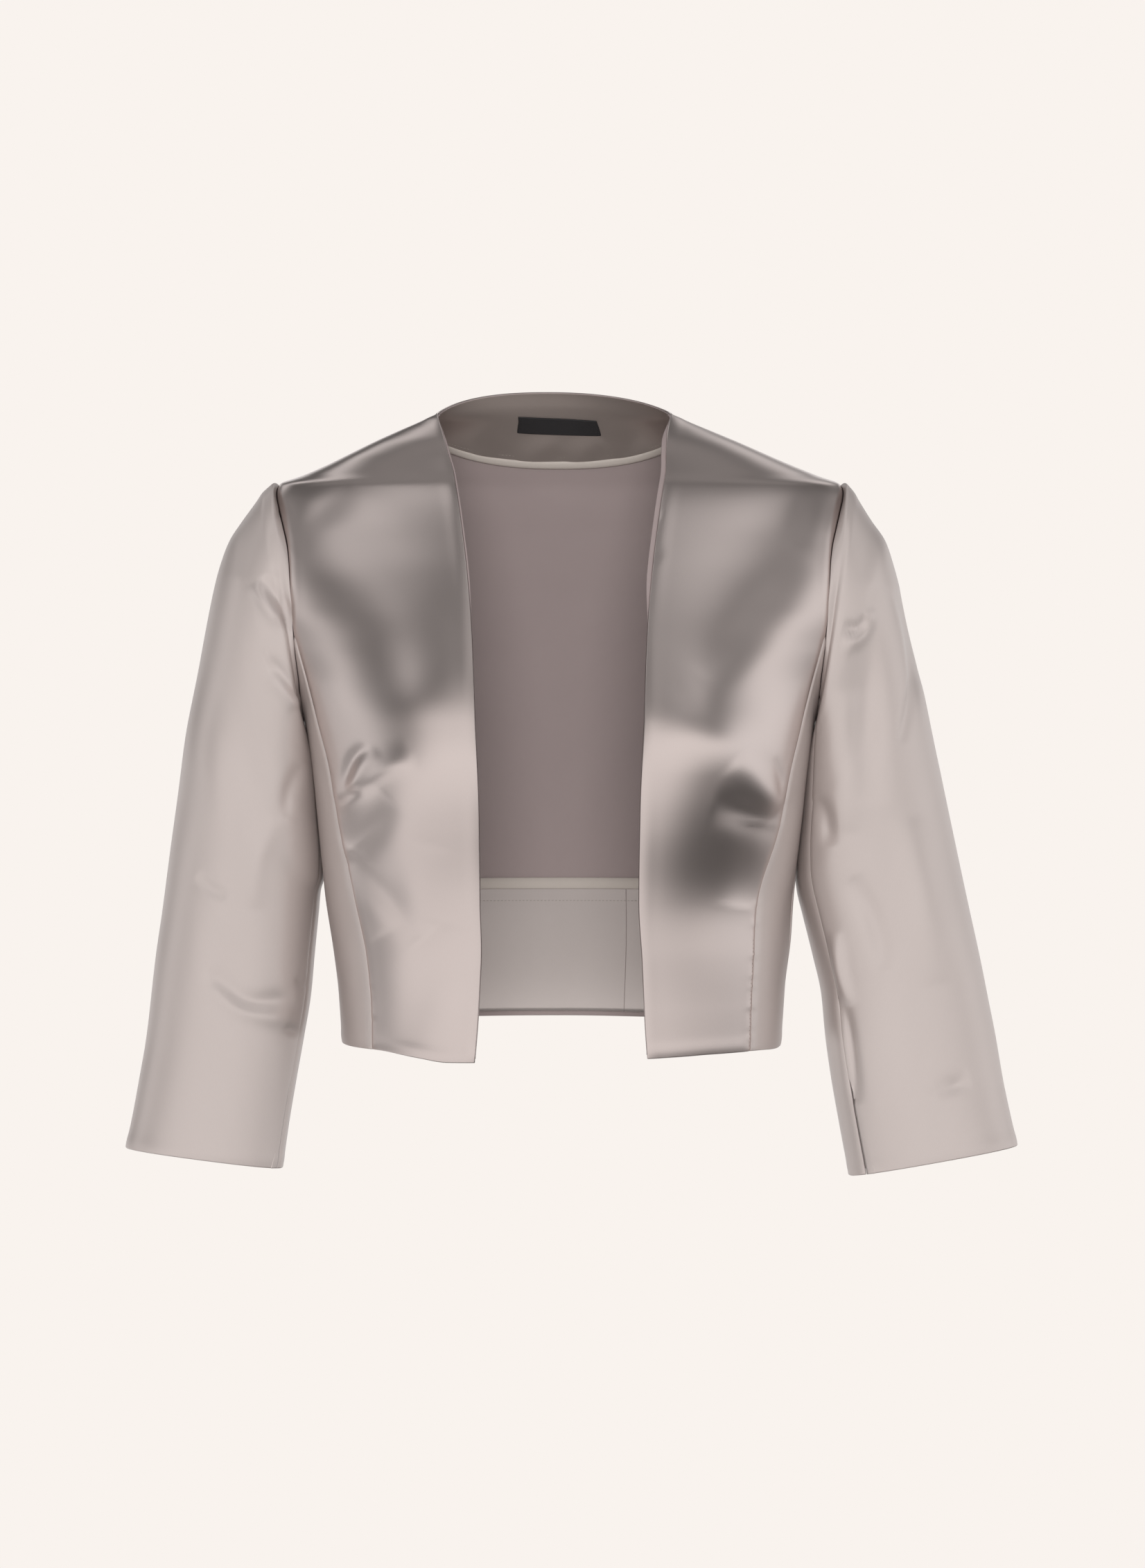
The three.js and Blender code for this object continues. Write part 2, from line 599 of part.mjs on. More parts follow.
// Draws the edges of a grid in along the cloth; a negative distance lets one out
function drawIn(grid, edges) {
  const result = copyGrid(grid);
  const lastRow = grid.length - 1;
  const lastColumn = grid[0].length - 1;
  const move = (i, j, towardI, towardJ, distance) => {
    const step = grid[towardI][towardJ].point.clone().sub(grid[i][j].point);
    result[i][j].point.addScaledVector(step.normalize(), distance);
  };
  const amount = (value, index) => (typeof value === 'function' ? value(index) : value || 0);
  for (let i = 0; i <= lastRow; i += 1) {
    move(i, 0, i, 1, amount(edges.first, i));
    move(i, lastColumn, i, lastColumn - 1, amount(edges.last, i));
  }
  for (let j = 0; j <= lastColumn; j += 1) {
    move(0, j, 1, j, amount(edges.top, j));
    move(lastRow, j, lastRow - 1, j, amount(edges.foot, j));
  }
  return result;
}

// Closed wall of cloth between two depths under the grid
function wall(grid, outerDepth, innerDepth) {
  const rows = grid.length;
  const columns = grid[0].length;
  const positions = [];
  for (const level of [outerDepth, innerDepth]) {
    for (const row of grid) {
      for (const spot of row) {
        positions.push(...spot.point.clone().addScaledVector(spot.out, -level).toArray());
      }
    }
  }
  const at = (level, i, j) => level * rows * columns + i * columns + j;
  const faces = [];
  const quad = (a, b, c, d) => faces.push(a, b, c, a, c, d);
  for (let i = 0; i < rows - 1; i += 1) {
    for (let j = 0; j < columns - 1; j += 1) {
      quad(at(0, i, j), at(0, i, j + 1), at(0, i + 1, j + 1), at(0, i + 1, j));
      quad(at(1, i, j), at(1, i + 1, j), at(1, i + 1, j + 1), at(1, i, j + 1));
    }
  }
  const height = (index) => positions[3 * index + 2] + 0.01 * positions[3 * index];
  const under = rows * columns;
  // Rim between two neighbours, split the same way on both sides of a seam
  const rim = (a, b) => {
    if (height(a) > height(b)) faces.push(a, b, b + under, a, b + under, a + under);
    else faces.push(a, b, a + under, b, b + under, a + under);
  };
  for (let i = 0; i < rows - 1; i += 1) {
    rim(at(0, i, 0), at(0, i + 1, 0));
    rim(at(0, i + 1, columns - 1), at(0, i, columns - 1));
  }
  for (let j = 0; j < columns - 1; j += 1) {
    rim(at(0, 0, j + 1), at(0, 0, j));
    rim(at(0, rows - 1, j), at(0, rows - 1, j + 1));
  }
  if (volume(positions, faces) < 0) faces.reverse();
  const geometry = new THREE.BufferGeometry();
  geometry.setAttribute('position', new THREE.Float32BufferAttribute(positions, 3));
  geometry.setIndex(faces);
  geometry.computeVertexNormals();
  return geometry;
}

function volume(positions, faces) {
  const corner = (index) => new THREE.Vector3().fromArray(positions, 3 * index);
  let total = 0;
  for (let k = 0; k < faces.length; k += 3) {
    total += corner(faces[k]).dot(corner(faces[k + 1]).cross(corner(faces[k + 2])));
  }
  return total;
}

const SATIN = new THREE.MeshStandardMaterial({ color: 0xb3a6a1, roughness: 0.34, metalness: 0 });
const FACING_SATIN = new THREE.MeshStandardMaterial({ color: 0xa89c97, roughness: 0.4, metalness: 0 });
const BINDING_TAPE = new THREE.MeshStandardMaterial({ color: 0xbab0a6, roughness: 0.6, metalness: 0 });
const LABEL_CLOTH = new THREE.MeshStandardMaterial({ color: 0x1c1b1c, roughness: 0.6, metalness: 0 });

const jacket = new THREE.Group();

function add(name, geometry, material) {
  const mesh = new THREE.Mesh(geometry, material.clone());
  mesh.name = name;
  jacket.add(mesh);
}

const HALF_GAP = SEAM_GAP / 2;

function addFront(side) {
  const grid = frontGrid(side);
  const shell = drawIn(grid, { last: HALF_GAP, top: HALF_GAP });
  add(`front_${side}`, wall(shell, 0, SHELL), SATIN);
  const strip = part(grid, 0, grid.length - 1, 0, FRONT_FACING_COLUMNS);
  const peek = (i) => {
    const z = strip[i][0].point.z;
    const fromTop = smooth(z / FACING_PEEK.full);
    return -FACING_PEEK[side] * fromTop * smooth((z - FACING_PEEK.above) / FACING_PEEK.fade);
  };
  const facing = drawIn(strip, { first: peek, top: HALF_GAP, foot: FACING_HEM_SETBACK });
  add(`front_facing_${side}`, wall(facing, INSIDE_SHELL, INSIDE_SHELL + FACING), FACING_SATIN);
}

function addSideFront(side) {
  const shell = drawIn(sideFrontGrid(side), { first: HALF_GAP, last: HALF_GAP, top: HALF_GAP });
  add(`side_front_${side}`, wall(shell, 0, SHELL), SATIN);
}

function addSideBack(side) {
  const shell = drawIn(sideBackGrid(side), { first: HALF_GAP, last: HALF_GAP, top: HALF_GAP });
  add(`side_back_${side}`, wall(shell, 0, SHELL), SATIN);
}

function addBack() {
  const grid = backGrid();
  const lastColumn = grid[0].length - 1;
  add('back', wall(drawIn(grid, { first: HALF_GAP, last: HALF_GAP }), 0, SHELL), SATIN);

  const facing = drawIn(part(grid, 0, 2, 0, lastColumn), {
    first: HALF_GAP, last: HALF_GAP, foot: HALF_GAP,
  });
  add('neck_facing', wall(facing, INSIDE_SHELL, INSIDE_SHELL + FACING), FACING_SATIN);
  const binding = drawIn(part(grid, 2, 3, 0, lastColumn), {
    first: HALF_GAP, last: HALF_GAP, top: HALF_GAP,
  });
  add('neck_binding', wall(binding, INSIDE_SHELL, INSIDE_SHELL + BINDING), BINDING_TAPE);
  addLabel(grid);
  addHemFacing(grid);
}

function addLabel(grid) {
  const { column, shift, reachTop, reachBottom, top, bottom, lean } = LABEL_PLACE;
  const columns = part(grid, 0, 1, column - 1, column + 1);
  const along = (row, offset) => {
    const next = row[offset < 0 ? 0 : 2];
    const share = Math.abs(offset);
    return {
      point: row[1].point.clone().lerp(next.point, share),
      out: row[1].out.clone().lerp(next.out, share),
    };
  };
  const edge = (share, reach) => [-reach - shift, -shift, reach - shift].map((offset) => {
    const upper = along(columns[0], offset);
    const lower = along(columns[1], offset);
    const down = share - lean * offset;
    return { point: upper.point.lerp(lower.point, down), out: upper.out.lerp(lower.out, down) };
  });
  const rows = [edge(top, reachTop), edge(bottom, reachBottom)];
  const depthUnder = INSIDE_SHELL + FACING + LAYER_GAP;
  add('label', wall(rows, depthUnder, depthUnder + LABEL), LABEL_CLOTH);
}

// Rows of the back and of a side back joined into one grid, for a facing that crosses the seam
function joinRows(left, right) {
  return left.map((row, i) => [...row.slice(0, -1), ...right[i]]);
}

function addHemFacing(grid) {
  const lastColumn = grid[0].length - 1;
  const seam = HEM_FACING_SEAM_COLUMN;
  const bandTop = grid.length - 2 - HEM_FACING_STEPS;
  const lastRow = grid.length - 1;
  const sideGrid = { left: sideBackGrid('left'), right: sideBackGrid('right') };
  const sideTop = sideGrid.left.length - 2 - HEM_FACING_STEPS;
  const sideLast = sideGrid.left.length - 1;
  const sideRows = (side, from, to) => part(sideGrid[side], from, to, 0, SIDE_STEPS);
  const reversed = (rows) => rows.map((row) => [...row].reverse());
  const leftOf = (from, to) => joinRows(
    sideRows('left', sideTop + from, sideTop + to),
    part(grid, bandTop + from, bandTop + to, 0, seam),
  );
  const rightOf = (from, to, column) => joinRows(
    part(grid, bandTop + from, bandTop + to, column, lastColumn),
    reversed(sideRows('right', sideTop + from, sideTop + to)),
  );
  const steps = lastRow - bandTop;
  if (sideLast - sideTop !== steps) throw new Error('hem rows differ');
  const inner = INSIDE_SHELL + FACING;
  const ends = { top: HALF_GAP, foot: FACING_HEM_SETBACK, first: HALF_GAP, last: HALF_GAP };
  add('hem_facing_side', wall(drawIn(leftOf(1, steps), ends), INSIDE_SHELL, inner), FACING_SATIN);
  add('hem_facing_back', wall(drawIn(rightOf(1, steps, seam), ends), INSIDE_SHELL, inner), FACING_SATIN);
  const band = joinRows(leftOf(0, 1), rightOf(0, 1, seam));
  const tape = drawIn(band, { foot: HALF_GAP, first: HALF_GAP, last: HALF_GAP });
  add('hem_binding', wall(tape, INSIDE_SHELL, INSIDE_SHELL + BINDING), BINDING_TAPE);
}

// Columns of a sleeve from one station to another, round past the shoulder tip if need be
function sleevePiece(side, from, to) {
  const stations = [];
  for (let j = from; j !== to; j = (j + 1) % STATION_COUNT) stations.push(j);
  stations.push(to);
  return copyGrid(SLEEVES[side].map((row) => stations.map((j) => row[j])));
}

function addSleeve(side) {
  const { front, back } = SLEEVE_SEAMS[side];
  const edges = { first: HALF_GAP, last: HALF_GAP, top: HALF_GAP };
  const under = drawIn(sleevePiece(side, front, back), edges);
  add(`sleeve_under_${side}`, wall(under, 0, SHELL), SATIN);

  const top = sleevePiece(side, back, front);
  const firstVentRow = 1 + SLEEVE_STEPS.indexOf(VENT.from);
  const opening = (i) => {
    if (i <= firstVentRow) return HALF_GAP;
    return mix(VENT.atTop, VENT.atHem, (SLEEVE_STEPS[i - 1] - VENT.from) / (1 - VENT.from));
  };
  add(`sleeve_top_${side}`, wall(drawIn(top, { ...edges, last: opening }), 0, SHELL), SATIN);

  const lastColumn = top[0].length - 1;
  const lap = part(top, firstVentRow, top.length - 1, lastColumn - 1, lastColumn);
  const lapEdges = { first: (i) => lapWidth(lap, i) - VENT.underlap, last: HALF_GAP };
  add(`vent_underlap_${side}`, wall(drawIn(lap, lapEdges), INSIDE_SHELL, INSIDE_SHELL + UNDERLAP), SATIN);
}

function lapWidth(grid, row) {
  return grid[row][0].point.distanceTo(grid[row][1].point);
}

addBack();
for (const side of SIDES) {
  addFront(side);
  addSideFront(side);
  addSideBack(side);
  addSleeve(side);
}

export default jacket;
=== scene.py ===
"""Looks of an open satin bolero jacket, filled out as if worn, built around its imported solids.

The garment's sizes below are in millimetres and its angles in degrees; Blender works in metres.
+Z is up, -Y is the front and +X is the wearer's left. Right and left are the wearer's.
"""
import math
from collections import namedtuple

import bpy
import numpy as np
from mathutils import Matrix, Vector


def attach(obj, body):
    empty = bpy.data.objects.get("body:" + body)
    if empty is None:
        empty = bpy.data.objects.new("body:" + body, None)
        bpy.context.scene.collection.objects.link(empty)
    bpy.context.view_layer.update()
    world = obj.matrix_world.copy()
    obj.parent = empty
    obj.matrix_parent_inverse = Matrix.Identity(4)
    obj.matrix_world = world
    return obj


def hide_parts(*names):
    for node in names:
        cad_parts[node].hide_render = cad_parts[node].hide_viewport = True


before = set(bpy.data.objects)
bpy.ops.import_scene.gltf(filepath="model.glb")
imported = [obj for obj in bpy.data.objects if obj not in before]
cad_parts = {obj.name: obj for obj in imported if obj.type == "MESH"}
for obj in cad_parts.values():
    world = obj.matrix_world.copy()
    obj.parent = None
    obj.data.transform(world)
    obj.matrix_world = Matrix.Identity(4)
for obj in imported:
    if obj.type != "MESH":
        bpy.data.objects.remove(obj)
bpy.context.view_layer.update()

MM = 0.001
SIDES = ("right", "left")
SIGN = {"right": -1.0, "left": 1.0}

# Cloth and the gaps between its pieces
SHELL = 1.2
FACING = 1.0
BINDING = 1.6
LABEL = 1.0
UNDERLAP = 1.0
LAYER_GAP = 0.3
INSIDE_SHELL = SHELL + LAYER_GAP
SEAM_GAP = 0.06

# Fine steps for each step of the solids
FINE = 8


def table(columns, *rows):
    """Rows of numbers as one array for each named column."""
    return {name: np.array([row[i] for row in rows], float) for i, name in enumerate(columns.split())}


# General figure: half its width, depth to the front and depth to the back at each height
FORM = table(
    "z half front back",
    (22, 76, 6, 59), (8, 77, 9, 64), (0, 78.8, 15, 68), (-4.2, 86.7, 21, 70),
    (-11.6, 103.8, 30, 73.5), (-19, 121, 38, 77), (-26.4, 137, 44, 80.5), (-33.8, 153, 49, 83.5),
    (-41.3, 170.8, 54, 86.5), (-48, 187.5, 59, 89), (-62, 193.5, 67, 92), (-82, 197.5, 76, 96),
    (-105, 198.5, 85, 99), (-130, 195, 92.5, 101), (-155, 187, 98, 101), (-180, 177.5, 102.5, 99.5),
    (-205, 170.5, 105.5, 97), (-235, 166, 107.5, 93), (-270, 162.5, 107, 89), (-310, 158.6, 105, 85.5),
    (-350, 154.4, 103, 83), (-390, 149.6, 101, 81.5), (-430, 147.5, 100, 82), (-460, 147.5, 100, 83),
)
ROUNDNESS = {"front": 2.35, "back": 2.3}
SIDE_FADE = 8
BUST = {"x": 86, "z": -232, "out": 15, "spread": 38, "up": 58, "down": 46}
LEAN = table(
    "z x",
    (16, -9), (8, -6), (0, -4), (-11.6, -3.4), (-26.4, -1.8), (-42, 0), (-320, 0), (-360, 1.4), (-430, 1),
)

# Seams and edges of the body: distance from the centre at each height
FRONT_EDGE = table(
    "z x",
    (0, 78.6), (-12, 75.1), (-37, 70.5), (-58, 66.8), (-77, 64), (-99, 61.1), (-138, 57.4),
    (-195, 54), (-260, 51.3), (-328, 51.8), (-393, 54.5), (-430, 57.2),
)
FRONT_PRINCESS = table(
    "z x",
    (-148, 175), (-168, 169.5), (-189, 163.5), (-210, 157.5), (-231, 151.5), (-255, 147),
    (-276, 144), (-315, 135), (-340, 131), (-393, 125.8), (-425, 125),
)
BACK_PRINCESS = table(
    "z x",
    (-120, 177), (-150, 142), (-180, 113), (-210, 93), (-240, 79), (-270, 71), (-330, 66), (-425, 62),
)
HEM = {
    "right": table(
        "turn z",
        (19, -424.8), (27, -425.2), (36, -423), (53, -419.6), (90, -420.5), (125, -416),
        (155, -412), (180, -411.8),
    ),
    "left": table(
        "turn z",
        (19, -422.2), (27, -421.6), (40, -420.8), (56, -420.8), (78, -422.4), (90, -421.5),
        (125, -416.5), (155, -412.6), (180, -411.8),
    ),
}

# Armhole, drawn from the side, and the number of steps along each stretch of it
ARMHOLE = {"z": -126.5, "height": 78.5, "front": 47, "back": 52, "frontSharp": 1.3, "backSharp": 1}
ARMHOLE_STRETCHES = {"front": 7, "side_front": 4, "side_back": 4, "back": 6}
FRONT_PRINCESS_TOP = -148
EDGE_AT_PRINCESS = -130
BACK_PRINCESS_TOP = -120
EDGE_SPACING = 1.6
TOP_FADE = 3
HEM_FADE = 5

# Lower body rows shared by neighbouring panels
BINDING_TOP = -317.3
HEM_FACING_TOP = -324.7
NEAR_HEM = -420
FRONT_STEPS_BELOW = 16
HEM_FACING_STEPS = 4

# Back panel: height on its side seams, height at the centre, sharpness of the curve between
BACK_YOKE = table(
    "seam centre sharp",
    (0, 16, 1.3), (-5, -13.5, 2.4), (-9.6, -29.7, 4), (-12, -34.9, 4.3), (-30, -56, 3),
)
BACK_YOKE_FINE = (8, 6, 6, 7, 8)
BELOW_YOKE_SHARP = 2.0
BACK_CENTRE_DROP = table("seam drop", (-48, 25), (-84, 16), (-120, 8), (-200, 0), (-425, 0))
BACK_SEAM_LEVELS = (-150, -180, -210, -240, -268, -292)
BACK_LEVELS_FINE = (10, 10, 10, 10, 10, 8, 8, 6, 8, 8, 8, 8)
BACK_COLUMNS = 150
# Facings: where the hem facing's seam is across the back, the front facing's share of the front, their
# distance from the hem, and how far and at what heights a front facing shows past the front edge
HEM_FACING_SEAM = 0.18
FRONT_FACING_SHARE = 0.25
FACING_HEM_SETBACK = 3
FACING_PEEK = {"left": 3.2, "right": 1.2, "above": -145, "fade": 40, "full": -20}
# Woven label: its middle and reach in shares of the back's width, the shares of the top rows and its lean
LABEL_PLACE = {
    "middle": 0.4936, "top_reach": 0.092, "foot_reach": 0.0752, "top": 0.56, "foot": 0.92, "lean": 0.5,
}
# Its mesh, how thin and how sharply its ends thin, and the depth of its stitches in shares of its own
LABEL_FORM = {"columns": 41, "rows": 13, "end": 0.6, "power": 8, "stitch_depth": 0.93}

# Sleeves: outer and inner line of each, seen from the front
SLEEVE_OUTER = {
    "right": table(
        "z x",
        (-47.3, 192.5), (-53, 199), (-57.5, 202.3), (-71, 213), (-85, 221.7), (-99, 227),
        (-113, 231), (-141, 237.2), (-169, 242.6), (-224, 252.2), (-280, 261), (-336, 268.4),
        (-363, 272.3), (-419, 278.6), (-447, 283.3), (-475, 288.4), (-492, 292.3),
    ),
    "left": table(
        "z x",
        (-47.3, 192), (-53, 197), (-57.5, 199.6), (-71, 208.2), (-85, 218), (-99, 223),
        (-113, 227), (-141, 234), (-169, 241), (-224, 252.8), (-280, 264.7), (-336, 276.2),
        (-363, 281.8), (-391, 287.3), (-419, 293), (-447, 298), (-475, 304), (-490.5, 307.8),
    ),
}
SLEEVE_INNER = {
    "right": table(
        "z x",
        (-208, 171.4), (-214, 168.9), (-224, 166.2), (-236, 163.8), (-270, 161), (-300, 158.9),
        (-311, 159.2), (-322, 162), (-336, 163.3), (-364, 166), (-391, 168.4), (-419, 172.9),
        (-447, 177.8), (-475, 182.4), (-504, 186.4),
    ),
    "left": table(
        "z x",
        (-208, 171.4), (-214, 168.9), (-224, 166.2), (-236, 163.8), (-270, 161), (-300, 158.9),
        (-311, 158.9), (-322, 160.2), (-336, 163.6), (-364, 170.6), (-391, 176.6), (-419, 179.2),
        (-447, 183), (-475, 187.8), (-509, 194),
    ),
}
SLEEVE_TOP = {"outer": -47.3, "inner": -208}
SLEEVE_LENGTH = {"right": {"outer": -492, "inner": -506}, "left": {"outer": -490.5, "inner": -511}}
SLEEVE_RINGS = table(
    "along outer inner front back middle lift",
    (0.04, 0, 0, 48.5, 53, 3, 0),
    (0.08, 0.013, 0.02, 51, 55.5, 4, 0),
    (0.13, 0.045, 0.05, 54, 58, 7, 0),
    (0.18, 0.09, 0.08, 56, 59.5, 10.5, 0),
    (0.24, 0.155, 0.125, 57, 60.5, 14, 0),
    (0.35, 0.28, 0.22, 58, 60, 19, 0),
    (0.5, 0.45, 0.385, 55, 57, 20, 0),
    (0.7, 0.67, 0.63, 47.5, 49, 14, 1),
    (0.85, 0.835, 0.815, 41, 42, 6, 2),
    (1, 1, 1, 35, 36, -3, 2.6),
)
SLEEVE_ROUNDNESS = 2.45
SLEEVE_START = 0.04
SLEEVE_HEAD_ROWS = 6
HEAD_ROLL = {"front": 0.1, "top": 0.4}
SLEEVE_ROWS = 168
SLEEVE_SEAMS = {"right": {"front": 10, "back": 18}, "left": {"front": 9, "back": 17}}
VENT = {"from": 0.84, "at_top": 1, "at_hem": 8, "underlap": 12, "underlap_steps": 8}

# The photograph's camera: its place, its downward tilt, its focal length and the middle of its frame
PHOTO = {"width": 1652, "height": 2262, "focal": 6451.6, "distance": 3000}
CAMERA_PLACE = np.array([8.4, -2995.9, -91.0])
CAMERA_TILT = math.radians(3)
SENSOR = 36


def mix(a, b, share):
    return a + (b - a) * share


def smooth(share):
    s = np.clip(share, 0, 1)
    return s * s * (3 - 2 * s)


def curve(rows, source, target):
    """Smooth curve through the rows of a table that never overshoots them."""
    order = np.argsort(rows[source])
    x = rows[source][order]
    y = rows[target][order]
    slopes = np.diff(y) / np.diff(x)
    tangents = np.empty_like(y)
    tangents[0] = slopes[0]
    tangents[-1] = slopes[-1]
    product = slopes[:-1] * slopes[1:]
    same_way = product > 0
    total = np.where(same_way, slopes[:-1] + slopes[1:], 1)
    tangents[1:-1] = np.where(same_way, 2 * product / total, 0)

    def value(at):
        at = np.clip(at, x[0], x[-1])
        i = np.clip(np.searchsorted(x, at) - 1, 0, len(x) - 2)
        width = x[i + 1] - x[i]
        t = (at - x[i]) / width
        bend = width * (tangents[i] * t * (1 - t) ** 2 - tangents[i + 1] * t * t * (1 - t))
        return y[i] + (y[i + 1] - y[i]) * smooth(t) + bend

    return value


half_width = curve(FORM, "z", "half")
depth = {"front": curve(FORM, "z", "front"), "back": curve(FORM, "z", "back")}
lean = curve(LEAN, "z", "x")
front_edge = curve(FRONT_EDGE, "z", "x")
front_princess = curve(FRONT_PRINCESS, "z", "x")
back_princess = curve(BACK_PRINCESS, "z", "x")
hem_height = {side: curve(HEM[side], "turn", "z") for side in SIDES}
centre_drop = curve(BACK_CENTRE_DROP, "seam", "drop")
ring = {key: curve(SLEEVE_RINGS, "along", key) for key in SLEEVE_RINGS if key != "along"}
sleeve_outer = {side: curve(SLEEVE_OUTER[side], "z", "x") for side in SIDES}
sleeve_inner = {side: curve(SLEEVE_INNER[side], "z", "x") for side in SIDES}


def unit(vectors):
    return vectors / np.maximum(np.linalg.norm(vectors, axis=-1, keepdims=True), 1e-9)


def body_point(turn, z, side):
    """Points of the body and the directions out of it. The turn is 0 at the front and 180 at the back."""
    turn, z = np.broadcast_arrays(np.asarray(turn, float), np.asarray(z, float))
    past_back = turn > 180
    sign = np.where(past_back, SIGN["right"], SIGN[side])
    turn = np.where(past_back, 360 - turn, turn)
    is_front = turn <= 90
    n = np.where(is_front, ROUNDNESS["front"], ROUNDNESS["back"])
    half = half_width(z)
    deep = np.where(is_front, depth["front"](z), depth["back"](z))
    wide = np.abs(np.sin(np.radians(turn))) ** (2 / n)
    cosine = np.where(np.abs(turn - 90) < 1e-6, 0, np.abs(np.cos(np.radians(turn))))
    far = cosine ** (2 / n)
    slope_step = 0.5
    half_slope = half_width(z + slope_step) - half_width(z - slope_step)
    front_slope = depth["front"](z + slope_step) - depth["front"](z - slope_step)
    back_slope = depth["back"](z + slope_step) - depth["back"](z - slope_step)
    deep_slope = np.where(is_front, front_slope, back_slope)
    forward = np.where(is_front, -1, 1)
    out = unit(np.stack([
        sign * wide ** (n - 1) / half,
        forward * far ** (n - 1) / deep,
        -(wide ** n * half_slope) / half - (far ** n * deep_slope) / deep,
    ], axis=-1))
    point = np.stack([sign * half * wide + lean(z), forward * deep * far, z], axis=-1)
    rise = np.where(z > BUST["z"], BUST["up"], BUST["down"])
    beside = (half * wide - BUST["x"]) / BUST["spread"]
    cup = np.exp(-0.5 * (beside ** 2 + ((z - BUST["z"]) / rise) ** 2))
    fade = np.where(is_front, 1 - wide ** SIDE_FADE, 0)
    point = point + out * (BUST["out"] * cup * fade)[..., None]
    return point, out


def turn_at(x, z, face):
    share = np.clip(x / half_width(z), 0, 1) ** (ROUNDNESS[face] / 2)
    turn = np.degrees(np.arcsin(share))
    return turn if face == "front" else 180 - turn


# Grids of places on the body are pairs of arrays, turn and height


def stretch(start, stop, steps):
    """Evenly spaced values after start, up to stop."""
    return start + (stop - start) * np.arange(1, steps + 1) / steps


def armhole_angle(z):
    return math.degrees(math.acos((z - ARMHOLE["z"]) / ARMHOLE["height"]))


STATIONS = np.concatenate([
    [0],
    stretch(0, armhole_angle(FRONT_PRINCESS_TOP), ARMHOLE_STRETCHES["front"] * FINE),
    stretch(armhole_angle(FRONT_PRINCESS_TOP), 180, ARMHOLE_STRETCHES["side_front"] * FINE),
    stretch(180, 360 - armhole_angle(BACK_PRINCESS_TOP), ARMHOLE_STRETCHES["side_back"] * FINE),
    stretch(360 - armhole_angle(BACK_PRINCESS_TOP), 360, ARMHOLE_STRETCHES["back"] * FINE),
])
STATION_COUNT = len(STATIONS) - 1
FRONT_STATION = ARMHOLE_STRETCHES["front"] * FINE
UNDERARM_STATION = FRONT_STATION + ARMHOLE_STRETCHES["side_front"] * FINE
BACK_STATION = UNDERARM_STATION + ARMHOLE_STRETCHES["side_back"] * FINE


def armhole_spots(first, last):
    """Turn and height of the armhole from one station to another."""
    angle = STATIONS[first:last + 1]
    is_front = angle <= 180
    z = ARMHOLE["z"] + ARMHOLE["height"] * np.cos(np.radians(angle))
    sharp = np.where(is_front, ARMHOLE["frontSharp"], ARMHOLE["backSharp"])
    reach = np.where(is_front, ARMHOLE["front"], ARMHOLE["back"])
    away = np.abs(np.sin(np.radians(angle))) ** sharp * reach
    deep = np.where(is_front, depth["front"](z), depth["back"](z))
    n = np.where(is_front, ROUNDNESS["front"], ROUNDNESS["back"])
    turn = np.degrees(np.arccos(np.clip(away / deep, 0, 1) ** (n / 2)))
    turn = np.where(away < 1e-6, 90, turn)
    return np.where(is_front, turn, 180 - turn), z


def on_seam(x_at, z, face):
    return turn_at(x_at(z), z, face)


def hem_foot(x_at, face, side):
    """Height at which a seam meets the hem."""
    return float(hem_height[side](on_seam(x_at, NEAR_HEM, face)))


def panel(side, first, last, columns, top=None, share_down=None):
    """A four-sided panel from its two sides, with its top and hem drawn exactly."""
    (turn_a, z_a), (turn_b, z_b) = first, last
    down = np.linspace(0, 1, len(z_a)) if share_down is None else share_down
    turn = mix(turn_a[:, None], turn_b[:, None], columns[None, :])
    z = mix(z_a[:, None], z_b[:, None], columns[None, :])
    inner = ((columns > 0) & (columns < 1))[None, :]
    if top is not None:
        top_weight = ((1 - down) ** TOP_FADE)[:, None]
        turn = turn + inner * top_weight * (top[0] - mix(turn_a[0], turn_b[0], columns))[None, :]
        z = z + inner * top_weight * (top[1] - mix(z_a[0], z_b[0], columns))[None, :]
    hem_weight = (down ** HEM_FADE)[:, None]
    straight_turn = mix(turn_a[-1], turn_b[-1], columns)
    straight_z = mix(z_a[-1], z_b[-1], columns)
    z = z + inner * hem_weight * (hem_height[side](straight_turn) - straight_z)[None, :]
    return turn, z


def edge_columns(count, finest):
    """Shares from 0 to 1 that crowd a little towards both ends."""
    even = np.linspace(0, 1, count + 1)
    return mix(even, smooth(even), 1 - finest)


def front_spots(side):
    foot = hem_foot(front_edge, "front", side)
    seam_foot = hem_foot(front_princess, "front", side)
    steps = ARMHOLE_STRETCHES["front"] * FINE
    upper = EDGE_AT_PRINCESS * stretch(0, 1, steps) ** EDGE_SPACING
    lower = stretch(EDGE_AT_PRINCESS, foot, FRONT_STEPS_BELOW * FINE)
    edge_z = np.concatenate([[0], upper, lower])
    edge_turn = on_seam(front_edge, edge_z, "front")
    edge_turn[0] = 90
    seam_z = stretch(FRONT_PRINCESS_TOP, seam_foot, FRONT_STEPS_BELOW * FINE)
    armhole_turn, armhole_z = armhole_spots(0, FRONT_STATION)
    seam = (
        np.concatenate([armhole_turn, on_seam(front_princess, seam_z, "front")]),
        np.concatenate([armhole_z, seam_z]),
    )
    return panel(side, (edge_turn, edge_z), seam, FRONT_COLUMNS)


